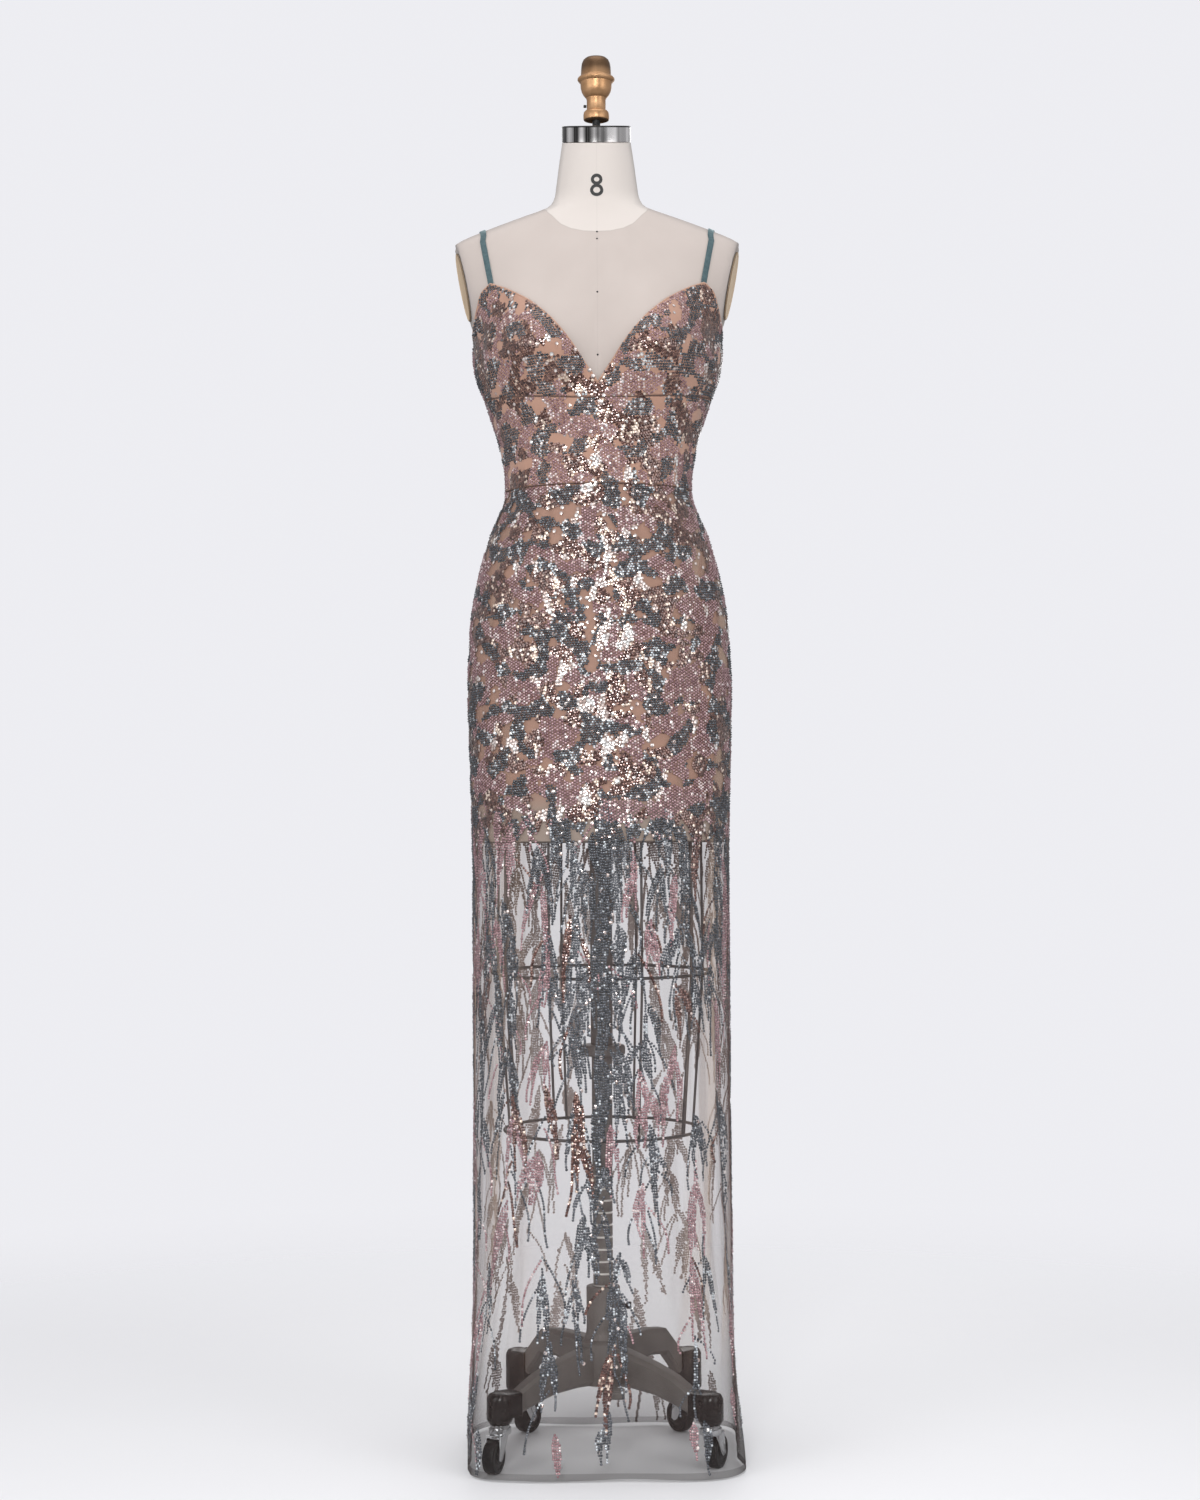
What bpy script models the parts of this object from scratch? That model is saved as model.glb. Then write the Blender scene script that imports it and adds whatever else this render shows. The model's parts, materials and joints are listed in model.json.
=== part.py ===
"""A sequinned evening gown worn by a limbless dress form on a castered stand.

Metres, +Z up, -Y is the front of the gown and +X its right as seen from the front.
The origin is on the floor, on the axis of the pole. The gown, the slip lining and the
form are all read from one body surface: BODY gives its level sections, BUST the two
mounds of the cups and FOLDS the soft folds of the net. A cloth panel is a patch of
that surface between two angles and two edges, with a wall turned inwards.
"""

import math

import bmesh
import bpy
from mathutils import Matrix, Vector

# Cloth walls and the clearances between layers
SEAM_GAP = 0.0003
NET_WALL = 0.0012
LINING_WALL = 0.0010
BODICE_WALL = 0.0024
LINING_INSET = NET_WALL + 0.0004
FORM_INSET = 0.0037
SEAM_ANGLE = 0.07

# Heights of the seams and edges
HEM = 0.0015
LINING_HEM = 0.803
WAIST_SEAM = 1.270
UNDERBUST_FRONT = 1.380
UNDERBUST_SIDE = 1.394
STRAP_ANGLE = 64.4
STRAP_BACK_ANGLE = 126.0

# Level sections of the gown's outer surface and, above the cups, of the form:
# height, half width, front depth, back depth, squareness (2 is an ellipse)
BODY = (
    (0.0000, 0.1760, 0.1600, 0.1585, 6.00),
    (0.0600, 0.1745, 0.1580, 0.1577, 5.60),
    (0.1000, 0.1730, 0.1560, 0.1580, 4.60),
    (0.2000, 0.1705, 0.1520, 0.1550, 3.30),
    (0.3000, 0.1700, 0.1490, 0.1530, 2.80),
    (0.4250, 0.1690, 0.1450, 0.1510, 2.50),
    (0.6320, 0.1690, 0.1390, 0.1490, 2.35),
    (0.8030, 0.1695, 0.1300, 0.1470, 2.30),
    (0.9200, 0.1725, 0.1220, 0.1460, 2.30),
    (1.0000, 0.1745, 0.1190, 0.1440, 2.25),
    (1.0465, 0.1735, 0.1170, 0.1390, 2.20),
    (1.1000, 0.1700, 0.1150, 0.1300, 2.20),
    (1.1533, 0.1605, 0.1110, 0.1190, 2.15),
    (1.2069, 0.1460, 0.1040, 0.1030, 2.10),
    (1.2337, 0.1345, 0.1000, 0.0950, 2.10),
    (1.2605, 0.1245, 0.0970, 0.0900, 2.10),
    (1.2874, 0.1235, 0.0970, 0.0890, 2.10),
    (1.3142, 0.1275, 0.0990, 0.0920, 2.10),
    (1.3411, 0.1330, 0.1020, 0.0960, 2.10),
    (1.3679, 0.1420, 0.1050, 0.1010, 2.10),
    (1.3948, 0.1515, 0.1060, 0.1060, 2.10),
    (1.4217, 0.1615, 0.1060, 0.1090, 2.05),
    (1.4486, 0.1660, 0.1060, 0.1110, 2.00),
    (1.4755, 0.1665, 0.1040, 0.1130, 2.00),
    (1.5024, 0.1780, 0.1010, 0.1140, 2.00),
    (1.5296, 0.1960, 0.0970, 0.1130, 2.00),
    (1.5600, 0.2050, 0.0895, 0.1070, 2.00),
    (1.5850, 0.2040, 0.0810, 0.0990, 2.00),
    (1.6020, 0.1970, 0.0720, 0.0910, 2.00),
    (1.6110, 0.1850, 0.0680, 0.0870, 2.00),
    (1.6215, 0.1600, 0.0640, 0.0830, 2.00),
    (1.6325, 0.1310, 0.0600, 0.0790, 2.00),
    (1.6430, 0.1010, 0.0570, 0.0740, 2.00),
    (1.6530, 0.0720, 0.0550, 0.0710, 2.00),
    (1.6640, 0.0617, 0.0535, 0.0650, 2.00),
    (1.6850, 0.0576, 0.0525, 0.0590, 2.00),
    (1.7060, 0.0549, 0.0515, 0.0550, 2.00),
    (1.7420, 0.0497, 0.0497, 0.0497, 2.00),
)

# The bust: distance of each apex from the centre, its height, and how far it stands
# out, with the spread sideways, upwards and downwards
BUST_OUT = 0.085
BUST_HEIGHT = 1.452
BUST_RISE = 0.042
BUST_SPREAD = 0.045
BUST_ABOVE = 0.047
BUST_BELOW = 0.038

# Soft folds of the net: angle from the front, spread of the fold, how far it stands
# out at the hem, and the height where it begins
FOLDS = (
    (-152.0, 10.0, 0.0035, 0.62),
    (-118.0, 9.0, 0.0035, 0.50),
    (-74.0, 8.0, -0.0035, 0.55),
    (-27.0, 9.0, 0.0025, 0.40),
    (8.0, 12.0, -0.0020, 0.45),
    (33.0, 8.0, 0.0025, 0.36),
    (76.0, 8.0, -0.0040, 0.60),
    (122.0, 9.0, 0.0040, 0.55),
    (156.0, 10.0, 0.0040, 0.58),
    (61.0, 12.0, 0.0070, 0.10),
)

# The top edge of the bodice on one side, from the V at the centre front over the
# strap point and under the arm to the centre back: angle from the front, height
TOP_EDGE = (
    (0.0, 1.3990),
    (5.0, 1.4130),
    (9.7, 1.4250),
    (16.0, 1.4435),
    (22.7, 1.4605),
    (33.6, 1.4842),
    (46.4, 1.5089),
    (57.4, 1.5272),
    (STRAP_ANGLE, 1.5365),
    (68.0, 1.5270),
    (72.0, 1.5110),
    (78.0, 1.4930),
    (84.0, 1.4820),
    (90.0, 1.4760),
    (105.0, 1.4640),
    (STRAP_BACK_ANGLE, 1.4600),
    (150.0, 1.4520),
    (165.0, 1.4480),
    (180.0, 1.4460),
)

CUP_ANGLES = (0, 5, 10, 15, 20, 25, 30, 35, 40, 45, 50, 55, 60, STRAP_ANGLE, 67, 70, 75, 80, 85, 90)
CUP_ROWS = 8
BACK_LEVELS = (1.44, 1.42, 1.403, 1.386)
MIDRIFF_LEVELS = (1.36, 1.335, 1.31, 1.29)
PANEL_STEP = 10
SKIRT_LEVELS = (1.242, 1.21, 1.17, 1.12, 1.07, 1.01, 0.94, 0.87, LINING_HEM, 0.70, 0.59, 0.47,
                0.35, 0.25, 0.17, 0.11, 0.065, 0.03)

# The form, which fills the cups a little less full than they are cut
BUST_EASE = 0.04
FORM_BOTTOM = 0.858
FORM_TOP = 1.742
CHEST_LEVELS = (1.46, 1.48, 1.505, 1.53, 1.56, 1.585, 1.602, 1.611, 1.622, 1.643, 1.653, 1.664,
                1.700)
# The armhole flat: its reach from the centre, how it turns with depth and with height
ARM_FLAT_REACH = 0.1885
ARM_FLAT_TURN = 0.12
ARM_FLAT_LEAN = 0.20
ARM_FLAT_HEIGHT = 1.58
ARM_FLAT_FROM = 1.488
ARM_PLATE_HEIGHT = 1.546
ARM_PLATE_DEPTH = -0.004
ARM_PLATE_HALF_DEPTH = 0.033
ARM_PLATE_HALF_HEIGHT = 0.046
ARM_PLATE_WALL = 0.002
ARM_PLATE_LIFT = 0.0009
ARM_PLATE_SIDES = 20
CAP_RADIUS = 0.0463
CAP_HEIGHT = 0.0225
CAP_BEVEL = 0.0008
# How steeply the cut of the neck drops towards the front, and where the slope sets in
NECK_SLOPE = 0.27
NECK_SLOPE_FROM = 1.664
STEM_RADIUS = 0.0053
# The turned knob on the neck: radius, height
FINIAL = (
    (0.0150, 1.7722),
    (0.0173, 1.7740),
    (0.0173, 1.7840),
    (0.0128, 1.7862),
    (0.0128, 1.8016),
    (0.0181, 1.8097),
    (0.0212, 1.8246),
    (0.0251, 1.8272),
    (0.0249, 1.8298),
    (0.0209, 1.8325),
    (0.0196, 1.8464),
    (0.0160, 1.8550),
    (0.0080, 1.8584),
)
FINIAL_SCREW_HEIGHT = 1.7915
FINIAL_SCREW_RADIUS = 0.002
FINIAL_SCREW_LENGTH = 0.004

# Straps and zip
STRAP_WIDTH = 0.008
STRAP_WALL = 0.0012
STRAP_LIFT = 0.0007
# How far from the centre a strap starts and ends its way over the shoulder's crest
STRAP_TURN_REACH = 0.1508
STRAP_CREST_REACH = 0.155
STRAP_TURN_HEIGHT = 1.600
STRAP_CROSSING_STEPS = 20
STRAP_BACK_GAP = 0.0018
ZIP_BOTTOM = 1.10
ZIP_WIDTH = 0.006
ZIP_WALL = 0.001
SLIDER_SIZE = (0.0055, 0.003, 0.010)
SLIDER_BEVEL = 0.0006
PULL_SIZE = (0.0045, 0.001, 0.024)
PULL_BEVEL = 0.0004

# The wire cage under the form, which tips forward a little
CAGE_TILT = 0.0244
RING_WIRE = 0.0021
CAGE_RINGS = (("cage_ring_upper", 0.632, 0.144, 0.128), ("cage_ring_lower", 0.425, 0.129, 0.122))
# Name, angle from the front, wire radius
CAGE_WIRES = (
    ("cage_wire_front_left", -29.0, 0.0017),
    ("cage_wire_front_right", 22.0, 0.0017),
    ("cage_wire_side_front_left", -64.0, 0.0026),
    ("cage_wire_side_front_right", 58.0, 0.0026),
    ("cage_wire_side_back_left", -100.0, 0.0017),
    ("cage_wire_side_back_right", 104.0, 0.0017),
    ("cage_wire_back_left", -157.0, 0.0017),
    ("cage_wire_back_right", 160.0, 0.0017),
)
WIRE_TOP_SCALE = 0.99

# The pole, from the top down
POLE_UPPER_RADIUS = 0.0145
COLLAR_TOP = 0.5365
COLLAR_BOTTOM = 0.5215
COLLAR_RADIUS = 0.031
COLLAR_BEVEL = 0.004
POLE_LOWER_RADIUS = 0.0135
POST_TOP = 0.377
POST_BOTTOM = 0.095
POST_RADIUS = 0.013
POST_GROOVE = 0.0012
GROOVE_TOP = 0.365
GROOVE_PITCH = 0.016
GROOVE_COUNT = 9

# The column and the four arm foot
COLUMN_TOP = 0.2195
COLUMN_RADIUS = 0.0222
COLUMN_BORE = 0.0135
COLUMN_FLARE = 0.003
COLUMN_FLARE_HEIGHT = 0.010
COLUMN_LIP = 0.002
KNOB_HEIGHT = 0.193
# The knob's stem and head: radius, reach from the column's wall
KNOB = ((0.0025, 0.0), (0.0025, 0.008), (0.0048, 0.0085), (0.0048, 0.0145))
HUB_TOP = 0.150
HUB_BOTTOM = 0.092
HUB_RADIUS = 0.030
HUB_BEVEL = 0.004
# Along an arm: share of its length from the axis, half width, then the top and bottom
# of a front arm and the top and bottom of a rear arm
ARM_SECTIONS = (
    (0.13, 0.0150, 0.1440, 0.0925, 0.1490, 0.0980),
    (0.35, 0.0140, 0.1360, 0.0920, 0.1515, 0.1110),
    (0.60, 0.0130, 0.1260, 0.0880, 0.1530, 0.1180),
    (0.81, 0.0125, 0.1145, 0.0790, 0.1500, 0.1160),
    (1.00, 0.0120, 0.0985, 0.0690, 0.1220, 0.0860),
)
ARM_END_BEFORE_STEM = 0.025
# Name, stem across and along, heading of the wheel's trail across and along
CASTERS = (
    ("front_left", -0.1335, -0.0895, -0.37, -0.93),
    ("front_right", 0.136, -0.100, 0.42, 0.90),
    ("rear_left", -0.116, 0.108, 0.60, 0.80),
    ("rear_right", 0.116, 0.108, -0.60, 0.80),
)
HOOD_TOP = 0.099
HOOD_REAR_RISE = 0.018
HOOD_BOTTOM = 0.0585
HOOD_RADIUS = 0.017
# The hood's outline: how far inside its radius, height over its bottom or under its top
HOOD_LOWER = ((0.004, 0.0), (0.0, 0.006))
HOOD_UPPER = ((0.0, 0.008), (0.003, 0.002), (0.009, 0.0))
HOOD_SIDES = 14
SLEEVE_EASE = 0.004
SLEEVE_SHORTER = 0.010
WASHER_RADIUS = 0.0145
WASHER_STEP = 0.002
WASHER_STEP_HEIGHT = 0.003
FORK_TOP_BOTTOM = 0.0450
WASHER_BOTTOM = 0.0480
CROWN_LENGTH = 0.028
# The middle of the fork's crown, as a share of the wheel's trail
CROWN_TRAIL_SHARE = 0.45
CHEEK_HALF_LENGTH = 0.013
CHEEK_TIP_HALF_LENGTH = 0.006
CHEEK_TIP_DROP = 0.003
WHEEL_RADIUS = 0.0215
WHEEL_BEVEL = 0.003
WHEEL_WIDTH = 0.016
WHEEL_BORE = 0.0034
AXLE_RADIUS = 0.0030
WHEEL_TRAIL = 0.020
FORK_WALL = 0.002
FORK_SIDE_GAP = 0.0006
WHEEL_SIDES = 20

# The height pedal between the front arms
PEDAL_ACROSS = 0.0125
PEDAL_PIVOT_Y = -0.036
PEDAL_PIVOT_Z = 0.1015
PEDAL_TIP_Y = -0.128
PEDAL_HALF_WIDTH = 0.0055
PEDAL_HALF_THICK = 0.0055
PEDAL_PAD_HALF_WIDTH = 0.014
PEDAL_PAD_LENGTH = 0.026
PEDAL_HEEL = 0.004
PEDAL_BEVEL = 0.002
# The two ears of the hub that hold the pedal: middle along Y, size
EAR_Y = -0.0315
EAR_SIZE = (0.004, 0.021, 0.014)


def material(name, colour, roughness, metallic=0.0):
    """A Principled material of one colour."""
    made = bpy.data.materials.new(name)
    made.use_nodes = True
    shader = made.node_tree.nodes["Principled BSDF"]
    shader.inputs["Base Color"].default_value = (*colour, 1.0)
    shader.inputs["Roughness"].default_value = roughness
    shader.inputs["Metallic"].default_value = metallic
    return made


def new_object(name, bm, finish, smooth_angle=35.0):
    """Close a bmesh into a named object with one material."""
    mesh = bpy.data.meshes.new(name)
    bmesh.ops.recalc_face_normals(bm, faces=bm.faces)
    bm.to_mesh(mesh)
    bm.free()
    made = bpy.data.objects.new(name, mesh)
    made.data.materials.append(finish)
    bpy.context.scene.collection.objects.link(made)
    mesh.shade_smooth()
    mesh.set_sharp_from_angle(angle=math.radians(smooth_angle))
    return made


def smooth_read(table, key):
    """Read a table of rows by its first column, with a smooth curve through the rows."""
    rows = len(table)
    if key <= table[0][0]:
        return table[0][1:]
    if key >= table[-1][0]:
        return table[-1][1:]
    upper = next(i for i in range(1, rows) if table[i][0] >= key)
    lower = upper - 1
    step = table[upper][0] - table[lower][0]
    share = (key - table[lower][0]) / step
    values = []
    for column in range(1, len(table[0])):
        slopes = []
        for i in (lower, upper):
            before = max(i - 1, 0)
            after = min(i + 1, rows - 1)
            rise = table[after][column] - table[before][column]
            slopes.append(rise / (table[after][0] - table[before][0]))
        low = table[lower][column]
        high = table[upper][column]
        squared = share * share
        cubed = squared * share
        values.append(
            (2 * cubed - 3 * squared + 1) * low
            + (cubed - 2 * squared + share) * step * slopes[0]
            + (3 * squared - 2 * cubed) * high
            + (cubed - squared) * step * slopes[1]
        )
    return values


def linear_read(table, key):
    """Read a two column table by straight lines between its rows."""
    for (start, low), (end, high) in zip(table, table[1:]):
        if key <= end:
            return low + (high - low) * (key - start) / (end - start)
    return table[-1][1]


def fold_lift(angle, height):
    """How far the net's folds stand out at an angle and a height."""
    lift = 0.0
    for centre, spread, depth, top in FOLDS:
        if height >= top:
            continue
        fall = (top - height) / top
        fall = fall * fall * (3 - 2 * fall)
        away = (angle - centre + 180.0) % 360.0 - 180.0
        lift += depth * fall * math.exp(-((away / spread) ** 2))
    return lift


def bust_lift(across, height):
    """How far the bust stands out in front of the level sections."""
    spread = BUST_ABOVE if height > BUST_HEIGHT else BUST_BELOW
    upright = math.exp(-(((height - BUST_HEIGHT) / spread) ** 2) / 2)
    sideways = math.exp(-(((abs(across) - BUST_OUT) / BUST_SPREAD) ** 2) / 2)
    return BUST_RISE * upright * sideways


def body_surface(angle, height):
    """A point of the body surface: 0 degrees is the front, 90 the side at +X."""
    half_width, front, back, squareness = smooth_read(BODY, height)
    turn = math.radians(angle)
    across = math.sin(turn)
    ahead = math.cos(turn)
    depth = front if ahead > 0 else back
    spread = (abs(across) / half_width) ** squareness + (abs(ahead) / depth) ** squareness
    reach = spread ** (-1 / squareness) + fold_lift(angle, height)
    x = reach * across
    y = -reach * ahead
    if height > ARM_FLAT_FROM:
        limit = ARM_FLAT_REACH + ARM_FLAT_TURN * y + ARM_FLAT_LEAN * (height - ARM_FLAT_HEIGHT)
        x = math.copysign(min(abs(x), limit), x)
    if ahead > 0:
        y -= bust_lift(x, height) * min(1.0, ahead * 3)
    return Vector((x, y, height))


def body_normal(angle, height):
    """The outward normal of the body surface."""
    sideways = body_surface(angle + 0.5, height) - body_surface(angle - 0.5, height)
    upward = body_surface(angle, height + 0.002) - body_surface(angle, height - 0.002)
    return sideways.cross(upward).normalized()


def layer_point(angle, height, inset):
    """A point at a depth under the body surface, on its normal."""
    return body_surface(angle, height) - body_normal(angle, height) * inset


def cloth_panel(name, angles, height_rows, inset, wall, finish):
    """A panel of cloth: a grid of the body surface with a wall turned inwards.

    height_rows gives, for one angle, the heights of the panel from its top edge down.
    """
    bm = bmesh.new()
    skins = []
    for depth in (inset, inset + wall):
        grid = []
        for angle in angles:
            grid.append([bm.verts.new(layer_point(angle, z, depth)) for z in height_rows(angle)])
        skins.append(grid)
    columns = len(angles)
    rows = len(skins[0][0])
    for grid in skins:
        for i in range(columns - 1):
            for j in range(rows - 1):
                bm.faces.new((grid[i][j], grid[i + 1][j], grid[i + 1][j + 1], grid[i][j + 1]))
    rim = [(i, 0) for i in range(columns)]
    rim += [(columns - 1, j) for j in range(1, rows)]
    rim += [(i, rows - 1) for i in range(columns - 2, -1, -1)]
    rim += [(0, j) for j in range(rows - 2, 0, -1)]
    for (i, j), (k, m) in zip(rim, rim[1:] + rim[:1]):
        outer, inner = skins
        bm.faces.new((outer[i][j], inner[i][j], inner[k][m], outer[k][m]))
    return new_object(name, bm, finish, 50.0)


def inset_ends(angles):
    """Open the seam gap at both ends of a row of angles."""
    return [angles[0] + SEAM_ANGLE, *angles[1:-1], angles[-1] - SEAM_ANGLE]


def even_angles(start, end, step=PANEL_STEP):
    """Angles from one seam to the next, with the seam gap at both ends."""
    count = round((end - start) / step)
    return inset_ends([start + (end - start) * i / count for i in range(count + 1)])


def between(top, bottom, rows):
    """Evenly spaced heights from a top edge down to a bottom edge."""
    return [top + (bottom - top) * i / rows for i in range(rows + 1)]


def top_edge(angle):
    """Height of the bodice's top edge."""
    return linear_read(TOP_EDGE, abs(angle))


def underbust(angle):
    """Height of the seam under the cups, a little higher at the side."""
    share = min(abs(angle) / 90.0, 1.0)
    return UNDERBUST_FRONT + (UNDERBUST_SIDE - UNDERBUST_FRONT) * share * share


def build_bodice(finish):
    """The cups, the front midriff and the two back halves."""
    half_gap = SEAM_GAP / 2

    def cup_rows(angle):
        return between(top_edge(angle), underbust(angle) + half_gap, CUP_ROWS)

    def midriff_rows(angle):
        return [underbust(angle) - half_gap, *MIDRIFF_LEVELS, WAIST_SEAM + half_gap]

    def back_rows(angle):
        middle = (top_edge(angle) + BACK_LEVELS[0]) / 2
        levels = (*BACK_LEVELS, *MIDRIFF_LEVELS)
        return [top_edge(angle), middle, *levels, WAIST_SEAM + half_gap]

    right = inset_ends(CUP_ANGLES)
    left = [-angle for angle in reversed(right)]
    cloth_panel("cup_right", right, cup_rows, 0.0, BODICE_WALL, finish)
    cloth_panel("cup_left", left, cup_rows, 0.0, BODICE_WALL, finish)
    cloth_panel("midriff_front", even_angles(-90, 90), midriff_rows, 0.0, BODICE_WALL, finish)
    cloth_panel("bodice_back_right", even_angles(90, 180), back_rows, 0.0, BODICE_WALL, finish)
    cloth_panel("bodice_back_left", even_angles(-180, -90), back_rows, 0.0, BODICE_WALL, finish)


def build_skirt(net, lining):
    """The beaded net skirt to the floor and the slip lining inside it."""
    top = WAIST_SEAM - SEAM_GAP / 2
    skirt_rows = [top, *SKIRT_LEVELS, HEM]
    lining_rows = [z for z in skirt_rows if z >= LINING_HEM]
    seams = (("skirt_front", -90, 90), ("skirt_back_right", 90, 180), ("skirt_back_left", -180, -90))
    for name, start, end in seams:
        cloth_panel(name, even_angles(start, end), lambda angle: skirt_rows, 0.0, NET_WALL, net)
    for name, start, end in (("lining_front", -90, 90), ("lining_back", 90, 270)):
        cloth_panel(name, even_angles(start, end), lambda angle: lining_rows, LINING_INSET,
                    LINING_WALL, lining)


def ribbon(name, path, width, wall, finish):
    """A flat band along a path of (point, outward normal) pairs, its inner face on it."""
    bm = bmesh.new()
    rings = []
    for i, (point, normal) in enumerate(path):
        before = path[max(i - 1, 0)][0]
        after = path[min(i + 1, len(path) - 1)][0]
        side = (after - before).cross(normal).normalized() * (width / 2)
        lift = normal * wall
        corners = (point - side, point + side, point + side + lift, point - side + lift)
        rings.append([bm.verts.new(corner) for corner in corners])
    for low, high in zip(rings, rings[1:]):
        for k in range(4):
            bm.faces.new((low[k], low[(k + 1) % 4], high[(k + 1) % 4], high[k]))
    bm.faces.new(rings[0])
    bm.faces.new(rings[-1])
    return new_object(name, bm, finish)


def angle_at_reach(reach, height, start, end):
    """The angle between two others where the form's surface has a given reach across."""
    for _ in range(40):
        middle = (start + end) / 2
        if layer_point(middle, height, FORM_INSET).x < reach:
            start = middle
        else:
            end = middle
    return (start + end) / 2


def station_over(reach, y):
    """The angle and height where the shoulder's surface passes over a point below."""
    angle = math.degrees(math.atan2(reach, -y))
    low, high = STRAP_TURN_HEIGHT - 0.02, FORM_TOP
    for _ in range(40):
        middle = (low + high) / 2
        if body_surface(angle, middle).xy.length > math.hypot(reach, y):
            low = middle
        else:
            high = middle
    return angle, low


def strap_path():
    """The right strap over the shoulder, from the cup's point to the back edge.

    It climbs level by level in front, crosses the shoulder in even steps of depth, and
    comes down level by level behind.
    """
    front_end = top_edge(STRAP_ANGLE) + SEAM_GAP
    back_end = top_edge(STRAP_BACK_ANGLE) + STRAP_BACK_GAP
    front_reach = layer_point(STRAP_ANGLE, front_end, FORM_INSET).x
    back_reach = layer_point(STRAP_BACK_ANGLE, back_end, FORM_INSET).x
    stations = []
    for z in between(front_end, STRAP_TURN_HEIGHT, 6):
        share = (z - front_end) / (STRAP_TURN_HEIGHT - front_end)
        reach = front_reach + (STRAP_TURN_REACH - front_reach) * share
        stations.append((angle_at_reach(reach, z, 40.0, 90.0), z))
    front_y = body_surface(*stations[-1]).y
    falling = []
    for z in between(STRAP_TURN_HEIGHT, back_end, 9):
        share = (z - back_end) / (STRAP_TURN_HEIGHT - back_end)
        reach = back_reach + (STRAP_CREST_REACH - back_reach) * share
        falling.append((angle_at_reach(reach, z, 140.0, 90.0), z))
    back_y = body_surface(*falling[0]).y
    crossing = between(front_y, back_y, STRAP_CROSSING_STEPS)[1:-1]
    for y in crossing:
        short = max(0.0, y / front_y) * (STRAP_CREST_REACH - STRAP_TURN_REACH)
        stations.append(station_over(STRAP_CREST_REACH - short, y))
    return [
        (layer_point(angle, z, FORM_INSET - STRAP_LIFT), body_normal(angle, z))
        for angle, z in stations + falling
    ]


def mirrored(path):
    """The same path on the other side."""
    flip = Vector((-1, 1, 1))
    return [(point * flip, normal * flip) for point, normal in path]


def block(bm, centre, size, turn=None):
    """A box added to a bmesh, turned about its own centre if asked."""
    place = Matrix.Translation(centre)
    if turn is not None:
        place = place @ turn
    scale = Matrix.Diagonal((*size, 1.0))
    return bmesh.ops.create_cube(bm, size=1.0, matrix=place @ scale)["verts"]


def build_straps_and_zip(strap, tape, metal):
    """The two straps, and the zip with its slider and pull tab at the centre back."""
    path = strap_path()
    ribbon("strap_right", path, STRAP_WIDTH, STRAP_WALL, strap)
    ribbon("strap_left", mirrored(path), STRAP_WIDTH, STRAP_WALL, strap)

    zip_top = top_edge(180.0) - 0.001
    skirt_part = [z for z in SKIRT_LEVELS if z > ZIP_BOTTOM]
    levels = [*BACK_LEVELS, *MIDRIFF_LEVELS, WAIST_SEAM, *skirt_part, ZIP_BOTTOM]
    levels = [zip_top, *(z for z in levels if z < zip_top - 0.002)]
    zip_path = [(layer_point(180.0, z, -SEAM_GAP), body_normal(180.0, z)) for z in levels]
    ribbon("zip_tape", zip_path, ZIP_WIDTH, ZIP_WALL, tape)

    wide, thick, tall = SLIDER_SIZE
    slider_height = zip_top - tall / 2
    normal = body_normal(180.0, slider_height)
    lean = Vector((0, 1, 0)).rotation_difference(normal).to_matrix().to_4x4()
    out = 2 * SEAM_GAP + ZIP_WALL + thick / 2
    slider_at = layer_point(180.0, slider_height, -out - 0.0001)
    bm = bmesh.new()
    block(bm, slider_at, SLIDER_SIZE, lean)
    slider = new_object("zip_slider", bm, metal)
    bevel(slider, SLIDER_BEVEL)

    pull_wide, pull_thick, pull_tall = PULL_SIZE
    pivot = slider_at + lean @ Vector((0, thick / 2 + SEAM_GAP + pull_thick / 2, tall / 4))
    bm = bmesh.new()
    block(bm, Vector((0, 0, (pull_thick - pull_tall) / 2)), PULL_SIZE)
    pull = new_object("zip_pull", bm, metal)
    pull.matrix_world = Matrix.Translation(pivot) @ lean
    bevel(pull, PULL_BEVEL)


def bevel(made, width):
    """Take the sharp edges off an object."""
    modifier = made.modifiers.new("Rounded edges", "BEVEL")
    modifier.width = width
    modifier.segments = 1
    modifier.limit_method = "ANGLE"
    modifier.angle_limit = math.radians(40)


def turned(name, profile, sides, finish, at=(0, 0, 0), aim=None, bored=False):
    """A body of revolution about +Z from (radius, height) rows, moved into place.

    A bored profile runs round a closed loop clear of the axis; a plain one is capped.
    """
    bm = bmesh.new()
    turn_in(bm, profile, sides, at, aim, bored)
    return new_object(name, bm, finish)


def turn_in(bm, profile, sides, at=(0, 0, 0), aim=None, bored=False, start=0.0):
    """Add a body of revolution to a bmesh."""
    place = Matrix.Translation(at)
    if aim is not None:
        place = place @ Vector((0, 0, 1)).rotation_difference(Vector(aim)).to_matrix().to_4x4()
    rings = []
    for radius, height in profile:
        ring = []
        for k in range(sides):
            turn = start + math.tau * k / sides
            point = Vector((radius * math.cos(turn), radius * math.sin(turn), height))
            ring.append(bm.verts.new(place @ point))
        rings.append(ring)
    pairs = list(zip(rings, rings[1:]))
    if bored:
        pairs.append((rings[-1], rings[0]))
    for low, high in pairs:
        for k in range(sides):
            after = (k + 1) % sides
            bm.faces.new((low[k], low[after], high[after], high[k]))
    if not bored:
        bm.faces.new(rings[0])
        bm.faces.new(rings[-1])


def rod(radius, bottom, top):
    """The profile of a plain rod."""
    return ((radius, bottom), (radius, top))


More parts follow.
